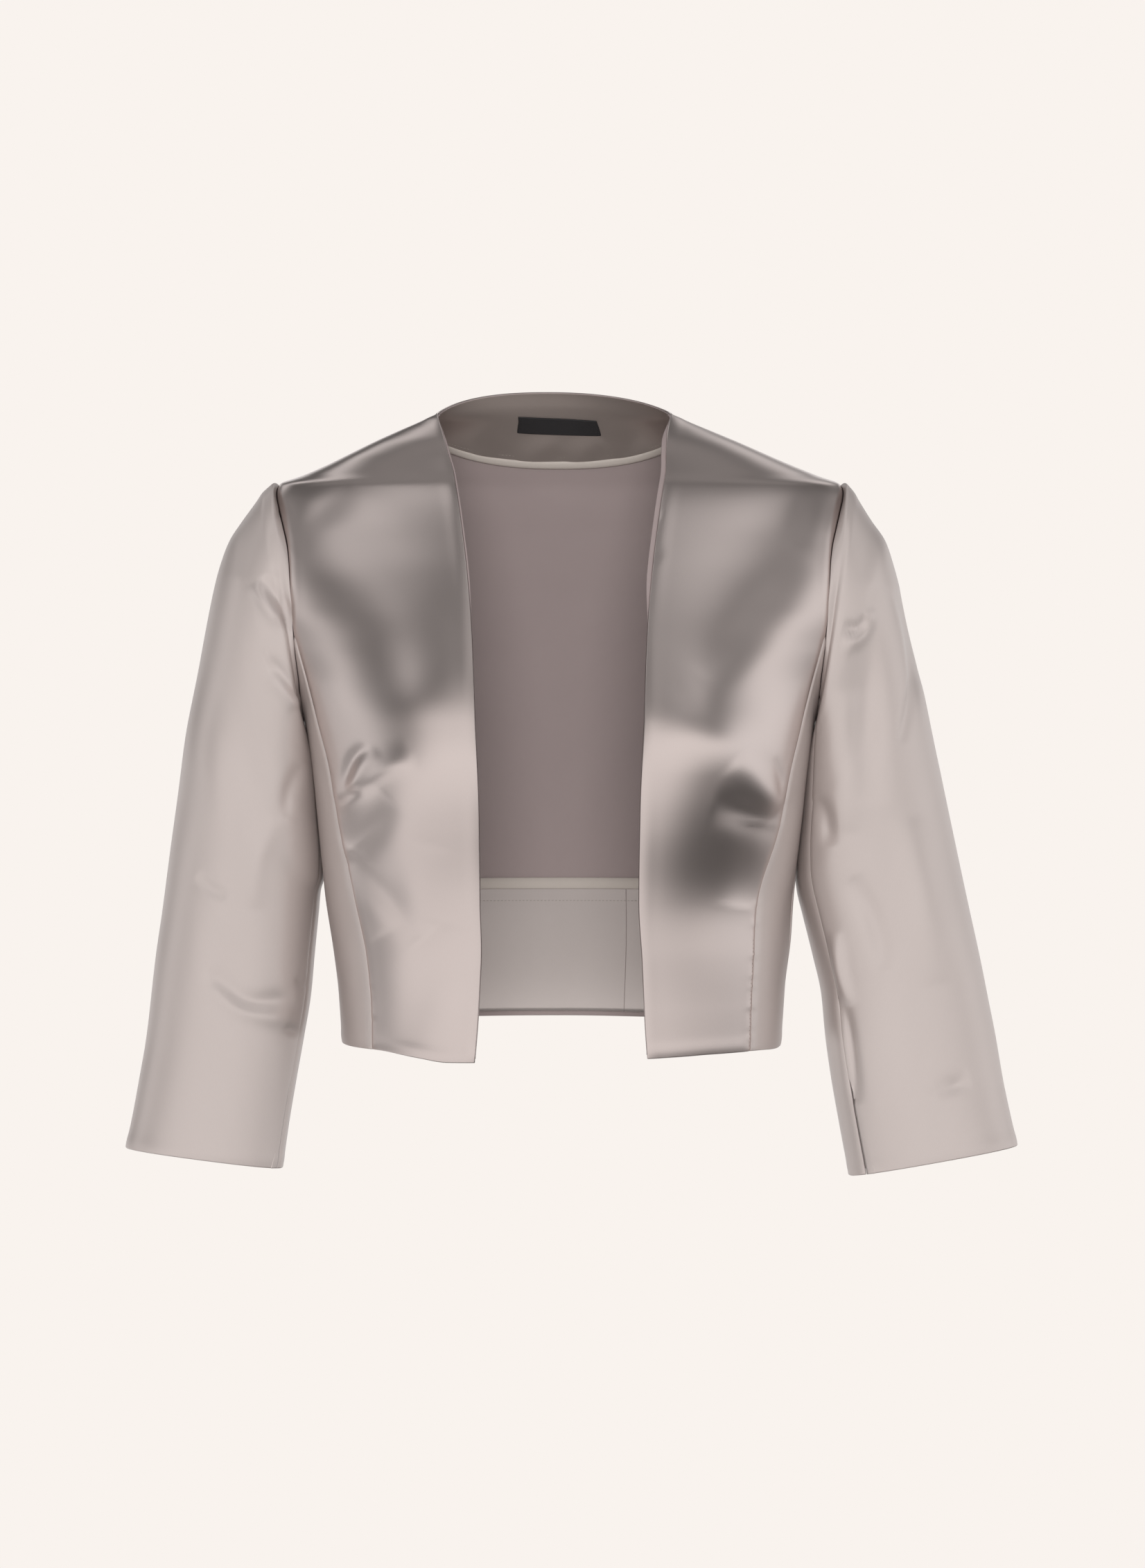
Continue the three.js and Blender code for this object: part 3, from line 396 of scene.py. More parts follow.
def side_front_spots(side):
    seam_foot = hem_foot(front_princess, "front", side)
    top = armhole_spots(FRONT_STATION, UNDERARM_STATION)
    steps = FRONT_STEPS_BELOW * FINE
    seam_z = np.concatenate([[FRONT_PRINCESS_TOP], stretch(FRONT_PRINCESS_TOP, seam_foot, steps)])
    seam_turn = on_seam(front_princess, seam_z, "front")
    seam_turn[0] = top[0][0]
    underarm = top[1][-1]
    side_z = np.concatenate([[underarm], stretch(underarm, float(hem_height[side](90)), steps)])
    columns = np.linspace(0, 1, len(top[0]))
    return panel(side, (seam_turn, seam_z), (np.full_like(side_z, 90), side_z), columns, top)


def refine(values, counts):
    """Evenly spaced values between each pair of values, in the given numbers of steps."""
    parts = [[values[0]]]
    for start, stop, count in zip(values[:-1], values[1:], counts):
        parts.append(stretch(start, stop, count))
    return np.concatenate(parts)


def back_seam_levels(side):
    foot = hem_foot(back_princess, "back", side)
    facing = stretch(HEM_FACING_TOP, foot, HEM_FACING_STEPS)
    return [BACK_PRINCESS_TOP, *BACK_SEAM_LEVELS, BINDING_TOP, HEM_FACING_TOP, *facing]


def side_back_spots(side):
    top = armhole_spots(UNDERARM_STATION, BACK_STATION)
    seam_z = refine(back_seam_levels(side), BACK_LEVELS_FINE)
    seam_turn = on_seam(back_princess, seam_z, "back")
    seam_turn[0] = top[0][-1]
    underarm = top[1][0]
    above = stretch(underarm, BINDING_TOP, len(BACK_SEAM_LEVELS) + 1)
    facing = stretch(HEM_FACING_TOP, float(hem_height[side](90)), HEM_FACING_STEPS)
    side_z = refine([underarm, *above, HEM_FACING_TOP, *facing], BACK_LEVELS_FINE)
    columns = np.linspace(0, 1, len(top[0]))
    level = refine(np.arange(len(BACK_LEVELS_FINE) + 1.0), BACK_LEVELS_FINE) / len(BACK_LEVELS_FINE)
    return panel(side, (np.full_like(side_z, 90), side_z), (seam_turn, seam_z), columns, top, level)


def back_rows(side):
    """Turn and height on the side seam, height at the centre and sharpness of each row of half the back."""
    yoke_seam = refine([*BACK_YOKE["seam"], ARMHOLE["z"] + ARMHOLE["height"]], BACK_YOKE_FINE)[:-1]
    tip = ARMHOLE["z"] + ARMHOLE["height"]
    yoke_centre = refine([*BACK_YOKE["centre"], tip - centre_drop(tip)], BACK_YOKE_FINE)[:-1]
    yoke_sharp = refine([*BACK_YOKE["sharp"], BELOW_YOKE_SHARP], BACK_YOKE_FINE)[:-1]
    arm_turn, arm_z = (values[::-1] for values in armhole_spots(BACK_STATION, STATION_COUNT))
    levels = refine(back_seam_levels(side), BACK_LEVELS_FINE)[1:]
    foot = levels[-1]
    to_hem = smooth((HEM_FACING_TOP - levels) / (HEM_FACING_TOP - foot))
    drop = mix(centre_drop(levels), foot - hem_height[side](180), to_hem)
    turn = np.concatenate([
        np.full_like(yoke_seam, 90), arm_turn, on_seam(back_princess, levels, "back"),
    ])
    z = np.concatenate([yoke_seam, arm_z, levels])
    centre = np.concatenate([yoke_centre, arm_z - centre_drop(arm_z), levels - drop])
    sharp = np.concatenate([yoke_sharp, np.full(len(arm_z) + len(levels), BELOW_YOKE_SHARP)])
    return turn, z, centre, sharp


def dome(share, sharp):
    """How far a row of the back has dropped towards its height at the centre."""
    return np.where((share > 0) & (share < 1), np.abs(np.sin(math.pi * share)) ** sharp, 0)


def back_spots():
    columns = np.linspace(0, 1, BACK_COLUMNS + 1)
    halves = {side: back_rows(side) for side in SIDES}
    # Next to the armhole's top the rows keep the drop of the row above at each turn, so that none cross
    last_yoke = YOKE_ROWS[-1]
    arm_rows = ARMHOLE_STRETCHES["back"] * FINE
    below_tip = np.arange(len(halves["left"][0])) - last_yoke
    near_tip = np.where(below_tip < 0, 0, 1 - smooth(below_tip / arm_rows))[:, None]
    turn = np.empty((len(halves["left"][0]), len(columns)))
    z = np.empty_like(turn)
    for side, chosen in (("left", columns <= 0.5), ("right", columns > 0.5)):
        seam_turn, seam_z, centre, sharp = (values[:, None] for values in halves[side])
        share = columns[chosen][None, :]
        start = (seam_turn - 90) / 180
        at_seam = dome(start, BELOW_YOKE_SHARP)
        by_turn = (dome(mix(start, 1 - start, share), BELOW_YOKE_SHARP) - at_seam) / (1 - at_seam)
        turn[:, chosen] = mix(seam_turn, 360 - seam_turn, share)
        z[:, chosen] = mix(seam_z, centre, mix(dome(share, sharp), by_turn, near_tip))
    return turn, z


FRONT_COLUMNS = edge_columns(52, 0.7)
YOKE_ROWS = np.cumsum((0,) + BACK_YOKE_FINE)
SIDE_LEVEL_ROWS = np.cumsum((0,) + BACK_LEVELS_FINE)
LEVEL_ROWS = YOKE_ROWS[-1] + ARMHOLE_STRETCHES["back"] * FINE + SIDE_LEVEL_ROWS
BINDING_LEVEL = len(BACK_SEAM_LEVELS) + 1

Grid = namedtuple("Grid", "point out")


def body_grid(turn, z, side):
    return Grid(*body_point(turn, z, side))


def part(grid, rows=slice(None), columns=slice(None)):
    return Grid(grid.point[rows, columns].copy(), grid.out[rows, columns].copy())


def sleeve_surface(side, along, angle):
    """Sleeve before its creases, at shares of its length and angles round it from the outer line."""
    length = SLEEVE_LENGTH[side]
    outer_z = mix(SLEEVE_TOP["outer"], length["outer"], ring["outer"](along))
    inner_z = mix(SLEEVE_TOP["inner"], length["inner"], ring["inner"](along))
    outer_x = sleeve_outer[side](outer_z)
    inner_x = sleeve_inner[side](inner_z)
    power = 2 / SLEEVE_ROUNDNESS
    sine = np.sin(np.radians(angle))
    cosine = np.cos(np.radians(angle))
    across = np.sign(cosine) * np.abs(cosine) ** power
    forth = np.abs(sine) ** power
    deep = np.where(angle <= 180, -ring["front"](along), ring["back"](along))
    x = mix(inner_x, outer_x, 0.5) + 0.5 * (outer_x - inner_x) * across
    lift = -np.sign(deep) * forth * ring["lift"](along)
    z = mix(inner_z, outer_z, 0.5) + 0.5 * (outer_z - inner_z) * across + lift
    return np.stack([SIGN[side] * x, ring["middle"](along) + deep * forth, z], axis=-1)


def around_slope(points):
    """Slope of closed rings of points along each ring; the first and last columns are one place."""
    before = np.roll(points[:, :-1], 1, axis=1)
    after = np.roll(points[:, :-1], -1, axis=1)
    slope = after - before
    return np.concatenate([slope, slope[:, :1]], axis=1)


def sleeve_grid(side):
    turn, z = armhole_spots(0, STATION_COUNT)
    armhole, body_out = body_point(turn, z, side)
    along = np.linspace(SLEEVE_START, 1, SLEEVE_ROWS + 1)
    angle = STATIONS[None, :]
    rings = sleeve_surface(side, along[:, None], angle)
    step = along[1] - along[0]
    leave = (rings[1] - rings[0]) / step * SLEEVE_START
    head = rings[0] - armhole
    rows = []
    roll = mix(HEAD_ROLL["front"], HEAD_ROLL["top"], np.maximum(np.cos(np.radians(STATIONS)), 0))[:, None]
    for share in np.arange(SLEEVE_HEAD_ROWS) / SLEEVE_HEAD_ROWS:
        rise = smooth(share)
        start_bend = share * (1 - share) ** 2
        end_bend = -share * share * (1 - share)
        start_way = mix(head, body_out * np.linalg.norm(head, axis=-1, keepdims=True), roll)
        rows.append(armhole + head * rise + start_way * start_bend + leave * end_bend)
    points = np.concatenate([np.stack(rows), rings])
    down = np.gradient(points, axis=0)
    out = unit(np.cross(around_slope(points), down)) * SIGN[side]
    return Grid(points, out)


# Creases and seams


def seen(points):
    """Pixels of the photograph at which points of the garment show."""
    offset = points - CAMERA_PLACE
    distance = offset @ np.array([0, math.cos(CAMERA_TILT), -math.sin(CAMERA_TILT)])
    height = offset @ np.array([0, math.sin(CAMERA_TILT), math.cos(CAMERA_TILT)])
    x = PHOTO["width"] / 2 + PHOTO["focal"] * offset[..., 0] / distance
    y = PHOTO["height"] / 2 - PHOTO["focal"] * height / distance
    return np.stack([x, y], axis=-1)


# Millimetres of the garment to a pixel, at the camera's rounded distance
PIXEL = PHOTO["distance"] / PHOTO["focal"]
CREASE_TAPER = 0.7
# An uneven ripple: the lengths of its waves in shares of the pitch, and what sets their starts
RIPPLE = {"pitches": (1.0, 0.62, 1.57, 0.41), "first": 1.7, "turn": 2.3}

# A crease: its height (a trough is below 0), its reach to the left and right of its path, and the path.
# A swell is a broad soft rise or hollow: its height, half length, half width, slant and place.
Crease = namedtuple("Crease", "out left right path")
Swell = namedtuple("Swell", "out long short slant x y")


def smooth_path(path, steps=6):
    """Points along a path, rounded through its corners."""
    points = np.array(path, float)
    padded = np.concatenate([[2 * points[0] - points[1]], points, [2 * points[-1] - points[-2]]])
    result = [points[0]]
    for a, b, c, d in zip(padded, padded[1:], padded[2:], padded[3:]):
        for t in stretch(0, 1, steps):
            result.append(0.5 * (2 * b + (c - a) * t + (2 * a - 5 * b + 4 * c - d) * t * t
                                 + (3 * b - a - 3 * c + d) * t ** 3))
    return np.array(result)


def from_path(places, path):
    """Signed distance of places from a path, and the share of the path at which each is nearest."""
    line = smooth_path(path)
    best = np.full(places.shape[:-1], 1e9)
    away = np.zeros_like(best)
    share = np.zeros_like(best)
    lengths = np.linalg.norm(np.diff(line, axis=0), axis=1)
    starts = np.concatenate([[0], np.cumsum(lengths)])
    for a, b, length, start in zip(line, line[1:], lengths, starts):
        way = (b - a) / length
        offset = places - a
        along = np.clip(offset @ way, 0, length)
        gap = np.linalg.norm(offset - along[..., None] * way, axis=-1)
        side = np.sign(offset[..., 0] * way[1] - offset[..., 1] * way[0])
        nearer = gap < best
        best = np.where(nearer, gap, best)
        away = np.where(nearer, gap * side, away)
        share = np.where(nearer, (start + along) / starts[-1], share)
    return away, share


def crease_height(places, creases, scale):
    total = np.zeros(places.shape[:-1])
    for crease in creases:
        away, share = from_path(places, crease.path)
        reach = np.where(away < 0, crease.left, crease.right) / scale
        ends = (4 * share * (1 - share)) ** CREASE_TAPER
        total += crease.out * np.exp(-(away / reach) ** 2) * ends
    return total


def swell_height(places, swells, scale):
    total = np.zeros(places.shape[:-1])
    for swell in swells:
        slant = math.radians(swell.slant)
        dx = (places[..., 0] - swell.x) * scale
        dy = (places[..., 1] - swell.y) * scale
        along = (dx * math.cos(slant) + dy * math.sin(slant)) / swell.long
        across = (dy * math.cos(slant) - dx * math.sin(slant)) / swell.short
        total += swell.out * np.exp(-(along ** 2 + across ** 2))
    return total


def ripple(along, seed, pitch):
    """Uneven waves, from -1 to 1, at distances along a seam."""
    total = np.zeros_like(along)
    for k, share in enumerate(RIPPLE["pitches"]):
        start = seed * (k + RIPPLE["first"]) * RIPPLE["turn"]
        total += np.sin(2 * math.pi * along / (pitch * share) + start)
    return total / len(RIPPLE["pitches"])


def edge_distances(points):
    """Distance of each point of a grid from its first and last columns and its top and foot rows."""
    across = np.linalg.norm(np.diff(points, axis=1), axis=-1)
    down = np.linalg.norm(np.diff(points, axis=0), axis=-1)
    first = np.concatenate([np.zeros((len(points), 1)), np.cumsum(across, axis=1)], axis=1)
    top = np.concatenate([np.zeros((1, points.shape[1])), np.cumsum(down, axis=0)], axis=0)
    return {"first": first, "last": first[:, -1:] - first, "top": top, "foot": top[-1:] - top}


# Seams and turned edges: a dip at the edge and a low ridge beside it
SEAM = {"dip": 0.5, "width": 1.0, "ridge": 0.15, "ridge_at": 5.5, "ridge_width": 3}
ARMHOLE_SEAM = {"dip": 0.2, "width": 1.0, "ridge": 0.1, "ridge_at": 6, "ridge_width": 4}
TURNED = {"dip": 0.22, "width": 1.2, "ridge": 0.2, "ridge_at": 5, "ridge_width": 3.5}


def edge_height(distances, edges):
    """How the cloth dips at its seams and rolls at its turned edges."""
    total = np.zeros_like(distances["first"])
    for edge, form in edges.items():
        away = distances[edge]
        total -= form["dip"] * np.exp(-(away / form["width"]) ** 2)
        total += form["ridge"] * np.exp(-((away - form["ridge_at"]) / form["ridge_width"]) ** 2)
    return total


def pucker_height(places, distances, edge, side):
    """Waves across the foot of a princess seam."""
    form = PUCKERS[side]
    near = np.exp(-(distances[edge] / PUCKER["reach"]) ** 2)
    low = smooth((places[..., 1] - form["above"]) / PUCKER["fade"])
    return form["size"] * ripple(distances["foot"], len(side), PUCKER["pitch"]) * near * low


# Meshes


def draw_in(grid, **edges):
    """The grid with its edges drawn in along the cloth; a negative distance lets one out."""
    point = grid.point.copy()
    for edge, (index, inner) in {"first": (0, 1), "last": (-1, -2)}.items():
        if edge in edges:
            way = unit(grid.point[:, inner] - grid.point[:, index])
            point[:, index] += way * np.asarray(edges[edge], float).reshape(-1, 1)
    for edge, (index, inner) in {"top": (0, 1), "foot": (-1, -2)}.items():
        if edge in edges:
            way = unit(grid.point[inner] - grid.point[index])
            point[index] += way * np.asarray(edges[edge], float).reshape(-1, 1)
    return Grid(point, grid.out)


def boundary(rows, columns):
    """Indices round the edge of a grid, in order."""
    top = np.arange(columns)
    right = np.arange(1, rows) * columns + columns - 1
    foot = (rows - 1) * columns + np.arange(columns - 2, -1, -1)
    left = np.arange(rows - 2, 0, -1) * columns
    return np.concatenate([top, right, foot, left])


# How far a rim bulges, as a share of the wall's thickness, and how near to an edge its extra row lies
RIM_ROUND = 0.35
EDGE_ROW = 0.35


def supported(outer, inner):
    """Both faces of a wall with one more row and column close inside each edge, for a crisp edge."""
    faces = [outer, inner]
    for axis in (0, 1):
        faces = [np.moveaxis(face, axis, 0) for face in faces]
        first = np.linalg.norm(faces[0][1] - faces[0][0], axis=-1, keepdims=True)
        last = np.linalg.norm(faces[0][-2] - faces[0][-1], axis=-1, keepdims=True)
        near_first = np.minimum(EDGE_ROW / first, 0.5)
        near_last = np.minimum(EDGE_ROW / last, 0.5)
        faces = [
            np.concatenate([
                face[:1], mix(face[0], face[1], near_first)[None],
                face[1:-1], mix(face[-1], face[-2], near_last)[None], face[-1:],
            ])
            for face in faces
        ]
        faces = [np.moveaxis(face, 0, axis) for face in faces]
    return faces


def wall_mesh(name, outer, inner):
    """Closed mesh of a wall of cloth with rounded rims, its texture map in metres of cloth."""
    outer, inner = supported(outer, inner)
    rows, columns = outer.shape[:2]
    count = rows * columns
    loop = boundary(rows, columns)
    inside = np.clip(np.arange(rows), 1, rows - 2)[:, None] * columns
    inside = (inside + np.clip(np.arange(columns), 1, columns - 2)[None, :]).ravel()
    flat_outer = outer.reshape(-1, 3)
    flat_inner = inner.reshape(-1, 3)
    thick = np.linalg.norm(flat_outer[loop] - flat_inner[loop], axis=1, keepdims=True)
    away = unit(flat_outer[loop] - flat_outer[inside[loop]])
    middle = (flat_outer[loop] + flat_inner[loop]) / 2 + away * thick * RIM_ROUND
    vertices = np.concatenate([flat_outer, flat_inner, middle])
    index = np.arange(count).reshape(rows, columns)
    quads = np.stack([index[:-1, :-1], index[:-1, 1:], index[1:, 1:], index[1:, :-1]], axis=-1)
    quads = quads.reshape(-1, 4)
    rim = np.arange(len(loop))
    after = np.roll(rim, -1)
    upper_rim = np.stack([loop[after], loop[rim], 2 * count + rim, 2 * count + after], axis=1)
    lower_rim = np.stack([2 * count + after, 2 * count + rim, count + loop[rim], count + loop[after]], axis=1)
    faces = np.concatenate([quads, quads[:, ::-1] + count, upper_rim, lower_rim])
    corners = vertices[faces]
    volume = np.einsum("ij,ij->i", corners[:, 0], np.cross(corners[:, 1], corners[:, 2])).sum()
    volume += np.einsum("ij,ij->i", corners[:, 0], np.cross(corners[:, 2], corners[:, 3])).sum()
    if volume < 0:
        faces = faces[:, ::-1]

    distances = edge_distances(outer)
    u = distances["first"] - distances["first"].max() / 2
    v = -distances["top"]
    places = np.stack([u, v], axis=-1).reshape(-1, 2) * MM
    places = np.concatenate([places, places, places[loop]])

    mesh = bpy.data.meshes.new(name)
    mesh.vertices.add(len(vertices))
    mesh.vertices.foreach_set("co", (vertices * MM).astype(np.float32).ravel())
    mesh.loops.add(faces.size)
    mesh.loops.foreach_set("vertex_index", faces.astype(np.int32).ravel())
    mesh.polygons.add(len(faces))
    mesh.polygons.foreach_set("loop_start", np.arange(0, faces.size, 4, dtype=np.int32))
    is_inner = np.zeros(len(faces), np.int32)
    is_inner[len(quads):2 * len(quads)] = 1
    mesh.polygons.foreach_set("material_index", is_inner)
    mesh.polygons.foreach_set("use_smooth", np.ones(len(faces), bool))
    layer = mesh.uv_layers.new(name="cloth")
    layer.data.foreach_set("uv", places[faces.ravel()].astype(np.float32).ravel())
    mesh.update(calc_edges=True)
    mesh.validate()
    return mesh


def pick(values, rows, columns):
    """Values of a grid at places between its rows and columns."""
    row = np.clip(np.floor(rows).astype(int), 0, values.shape[0] - 2)
    column = np.clip(np.floor(columns).astype(int), 0, values.shape[1] - 2)
    down = rows - row
    across = columns - column
    if values.ndim == 3:
        down = down[..., None]
        across = across[..., None]
    upper = mix(values[row, column], values[row, column + 1], across)
    lower = mix(values[row + 1, column], values[row + 1, column + 1], across)
    return mix(upper, lower, down)


def sampled(grid, rows, columns):
    rows, columns = np.broadcast_arrays(rows, columns)
    return Grid(pick(grid.point, rows, columns), pick(grid.out, rows, columns))


def joined(*grids):
    """Grids side by side, each starting on the last column of the one before."""
    point = [grid.point[:, :-1] for grid in grids[:-1]] + [grids[-1].point]
    out = [grid.out[:, :-1] for grid in grids[:-1]] + [grids[-1].out]
    return Grid(np.concatenate(point, axis=1), np.concatenate(out, axis=1))


def riding_piece(name, mesh, materials):
    for material in materials:
        mesh.materials.append(material)
    piece = bpy.data.objects.new(name, mesh)
    bpy.context.scene.collection.objects.link(piece)
    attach(piece, "root")
    return piece


def cloth_piece(name, grid, height, materials, under=0.0, thickness=SHELL, trims=()):
    """A wall of cloth with its outer face at a depth under the grid, raised by the height given."""
    outer = grid.point + grid.out * (height - under)[..., None]
    inner = outer - grid.out * np.broadcast_to(thickness, height.shape)[..., None]
    piece = riding_piece(f"{name}_cloth", wall_mesh(name, outer, inner), materials)
    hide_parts(name)
    return piece


STITCH_RINGS = table("along size", (0, 0.3), (0.12, 0.8), (0.5, 1), (0.88, 0.8), (1, 0.3))
STITCH_SIDES = 6
STITCH = {"pitch": 2.5, "length": 1.6, "radius": 0.16}
LABEL_STITCH = {"pitch": 1.9, "length": 1.3, "radius": 0.17}
FINE_STITCH = {"pitch": 2.6, "length": 0.9, "radius": 0.17}


def stitch_row(name, line, out, pitch, length, radius, material, slot):
    """Short threads lying end to end along a line of points."""
    way = np.linalg.norm(np.diff(line, axis=0), axis=1)
    along = np.concatenate([[0], np.cumsum(way)])
    starts = np.arange(pitch / 2, along[-1] - length, pitch)
    size = STITCH_RINGS["size"]
    vertices = []
    faces = []
    sides = np.arange(STITCH_SIDES)

    def at(values, distance):
        return np.array([np.interp(distance, along, values[:, k]) for k in range(3)])

    for start in starts:
        a, b = at(line, start), at(line, start + length)
        lift = unit(at(out, start + length / 2))
        forward = unit(b - a)
        across = np.cross(forward, lift)
        base = len(vertices)
        for share, scale in zip(STITCH_RINGS["along"], size):
            middle = mix(a, b, share) + lift * radius * (scale - 0.5)
            for k in sides:
                angle = 2 * math.pi * k / STITCH_SIDES
                vertices.append(middle + radius * scale * (across * math.cos(angle) + lift * math.sin(angle)))
        for ring_at in range(len(size) - 1):
            low = base + ring_at * STITCH_SIDES
            for k in sides:
                after = (k + 1) % STITCH_SIDES
                faces.append((low + k, low + after, low + STITCH_SIDES + after, low + STITCH_SIDES + k))
        last = base + (len(size) - 1) * STITCH_SIDES
        faces.append(tuple((base + sides[::-1]).tolist()))
        faces.append(tuple((last + sides).tolist()))
    mesh = bpy.data.meshes.new(name)
    mesh.from_pydata((np.array(vertices) * MM).tolist(), [], faces)
    mesh.polygons.foreach_set("use_smooth", np.ones(len(faces), bool))
    return riding_piece(name, mesh, (material,))


# Cloth materials


def colour(red, green, blue):
    """A colour given as it looks on a screen, from 0 to 255, in Blender's linear values."""
    values = np.array([red, green, blue]) / 255
    linear = np.where(values <= 0.04045, values / 12.92, ((values + 0.055) / 1.055) ** 2.4)
    return (*linear.tolist(), 1.0)


DRIFT = {"scale": 14, "detail": 3, "share": 0.65, "gloss": 0.02}
WEAVE = {"detail": 2, "stretch": 0.28, "share": 0.35, "relief": 0.1}


def feed(tree, node, inputs):
    """Set the inputs of a node: each gets a value or the output of another node."""
    for name, value in inputs.items():
        if isinstance(value, bpy.types.NodeSocket):
            tree.links.new(value, node.inputs[name])
        else:
            node.inputs[name].default_value = value


def add_node(tree, kind, inputs, **settings):
    """The first output of a new node with these inputs and settings."""
    node = tree.nodes.new(f"ShaderNode{kind}")
    for name, value in settings.items():
        setattr(node, name, value)
    feed(tree, node, inputs)
    return node.outputs[0]


def cloth_material(name, tones, roughness, metallic, anisotropic, grain, thread):
    """Woven cloth: two tones that drift into each other, a fine grain along the warp and a soft shine."""
    material = bpy.data.materials.new(name)
    material.use_nodes = True
    tree = material.node_tree
    place = add_node(tree, "UVMap", {}, uv_map="cloth")
    drift = add_node(tree, "TexNoise", {
        "Vector": place, "Scale": DRIFT["scale"], "Detail": DRIFT["detail"],
    })
    warp = add_node(tree, "Mapping", {
        "Vector": place, "Scale": (1 / (thread * MM), WEAVE["stretch"] / (thread * MM), 1),
    })
    weave = add_node(tree, "TexNoise", {"Vector": warp, "Scale": 1, "Detail": WEAVE["detail"]})
    drift_part = add_node(tree, "Math", {0: drift, 1: DRIFT["share"]}, operation="MULTIPLY")
    both = add_node(tree, "Math", {0: weave, 1: WEAVE["share"], 2: drift_part}, operation="MULTIPLY_ADD")
    shader = tree.nodes["Principled BSDF"]
    feed(tree, shader, {
        "Base Color": add_node(tree, "MixRGB", {"Fac": both, "Color1": tones[0], "Color2": tones[1]}),
        "Metallic": metallic,
        "Roughness": add_node(tree, "MapRange", {
            "Value": drift, "To Min": roughness - DRIFT["gloss"], "To Max": roughness + DRIFT["gloss"],
        }),
        "Anisotropic": anisotropic,
        "Normal": add_node(tree, "Bump", {
            "Height": weave, "Strength": grain, "Distance": WEAVE["relief"] * MM,
        }),
    })
    if anisotropic:
        tangent = add_node(tree, "Tangent", {}, direction_type="UV_MAP", uv_map="cloth")
        feed(tree, shader, {"Tangent": tangent})
    return material


SATIN = cloth_material(
    "satin", (colour(196, 184, 180), colour(208, 196, 192)),
    roughness=0.3, metallic=0.92, anisotropic=0.5, grain=0.2, thread=0.55,
)
# The sleeves and sides get a wider and softer shine, as if the warp lay aslant there
SOFT_SATIN = cloth_material(
    "soft_satin", (colour(193, 182, 178), colour(205, 194, 190)),
    roughness=0.4, metallic=0.42, anisotropic=0.5, grain=0.2, thread=0.55,
)
REVERSE = cloth_material(
    "satin_reverse", (colour(151, 137, 136), colour(159, 145, 143)),
    roughness=0.75, metallic=0, anisotropic=0, grain=0.5, thread=0.5,
)
FACING_SATIN = cloth_material(
    "facing_satin", (colour(198, 188, 184), colour(208, 199, 195)),
    roughness=0.46, metallic=0.55, anisotropic=0.7, grain=0.35, thread=0.55,
)
# The neck facing's tones are darker than the other satins: painted shade, for the shade it lies in under the
# collar
SHADED_NECK_SATIN = cloth_material(
    "neck_satin_painted_shade", (colour(158, 146, 140), colour(169, 157, 151)),
    roughness=0.42, metallic=0.6, anisotropic=0.7, grain=0.35, thread=0.55,
)
TAPE = cloth_material(
    "binding_tape", (colour(196, 186, 178), colour(206, 197, 189)),
    roughness=0.6, metallic=0.2, anisotropic=0.3, grain=0.5, thread=0.6,
)
LABEL_CLOTH = cloth_material(
    "label_cloth", (colour(24, 22, 24), colour(38, 36, 37)),
    roughness=0.5, metallic=0, anisotropic=0, grain=0.8, thread=0.7,
)
THREAD = cloth_material(
    "thread", (colour(150, 141, 133), colour(168, 158, 150)),
    roughness=0.5, metallic=0, anisotropic=0, grain=0.3, thread=0.3,
)
THREAD_DARK = cloth_material(
    "thread_dark", (colour(30, 28, 30), colour(48, 45, 46)),
    roughness=0.5, metallic=0, anisotropic=0, grain=0.3, thread=0.3,
)

# Creases, at pixels of the photograph; heights and reaches are in millimetres
BODY_CREASES = {
    "right": (
        # Dart, with the pleats that spring from its point
        Crease(-1.0, 3, 3, ((522, 1136), (504, 1147), (485, 1159))),
        Crease(1.7, 10, 7, ((596, 1094), (560, 1108), (524, 1132), (484, 1160))),
        Crease(-1.2, 3.5, 5, ((528, 1076), (510, 1092), (501, 1114), (495, 1148))),
        Crease(1.1, 5, 5, ((546, 1084), (526, 1102), (516, 1120), (508, 1140))),
        # Hollows down the front
        Crease(-1.9, 12, 13, ((560, 1150), (532, 1182), (506, 1226))),
        Crease(-2.0, 10, 14, ((508, 1226), (540, 1264), (566, 1298), (606, 1356))),
        Crease(1.0, 12, 12, ((496, 1250), (520, 1300), (552, 1350))),
        Crease(0.7, 16, 16, ((620, 1220), (600, 1300), (580, 1400))),
        Crease(-0.8, 14, 14, ((636, 1330), (608, 1430), (590, 1510))),
        # Pull line from the shoulder to the armhole
        Crease(-0.6, 9, 12, ((508, 702), (464, 740), (416, 790))),
    ),
    "left": (
        # Dart, with the pleats that spring from its point
        Crease(-1.8, 12, 10, ((1030, 1160), (1066, 1170), (1100, 1182), (1130, 1188))),
        Crease(1.5, 12, 9, ((1060, 1096), (1084, 1118), (1106, 1142), (1130, 1164))),
        Crease(-0.5, 3, 3, ((1116, 1092), (1124, 1124), (1130, 1156))),
        # The deep hollow under the bust
        Crease(-1.5, 14, 18, ((1094, 1188), (1086, 1240), (1076, 1310))),
        # Pull lines over the chest
        Crease(-0.7, 14, 14, ((1150, 800), (1124, 842), (1080, 900), (1020, 980))),
        Crease(0.8, 18, 14, ((1192, 836), (1140, 900), (1080, 965), (990, 1012))),
        Crease(-0.6, 9, 9, ((1180, 705), (1160, 740), (1150, 790))),
        Crease(-0.5, 3, 4, ((956, 742), (948, 741), (940, 743))),
        Crease(-0.5, 3, 4, ((956, 802), (949, 800), (940, 803))),
    ),
}
BODY_SWELLS = {
    "right": (
        Swell(1.0, 60, 22, -12, 560, 1020),
    ),
    "left": (
        Swell(4.0, 46, 27, 6, 1030, 1062),
        Swell(-4.6, 48, 40, 30, 1092, 1312),
        Swell(0.6, 30, 22, 0, 1090, 752),
    ),
}
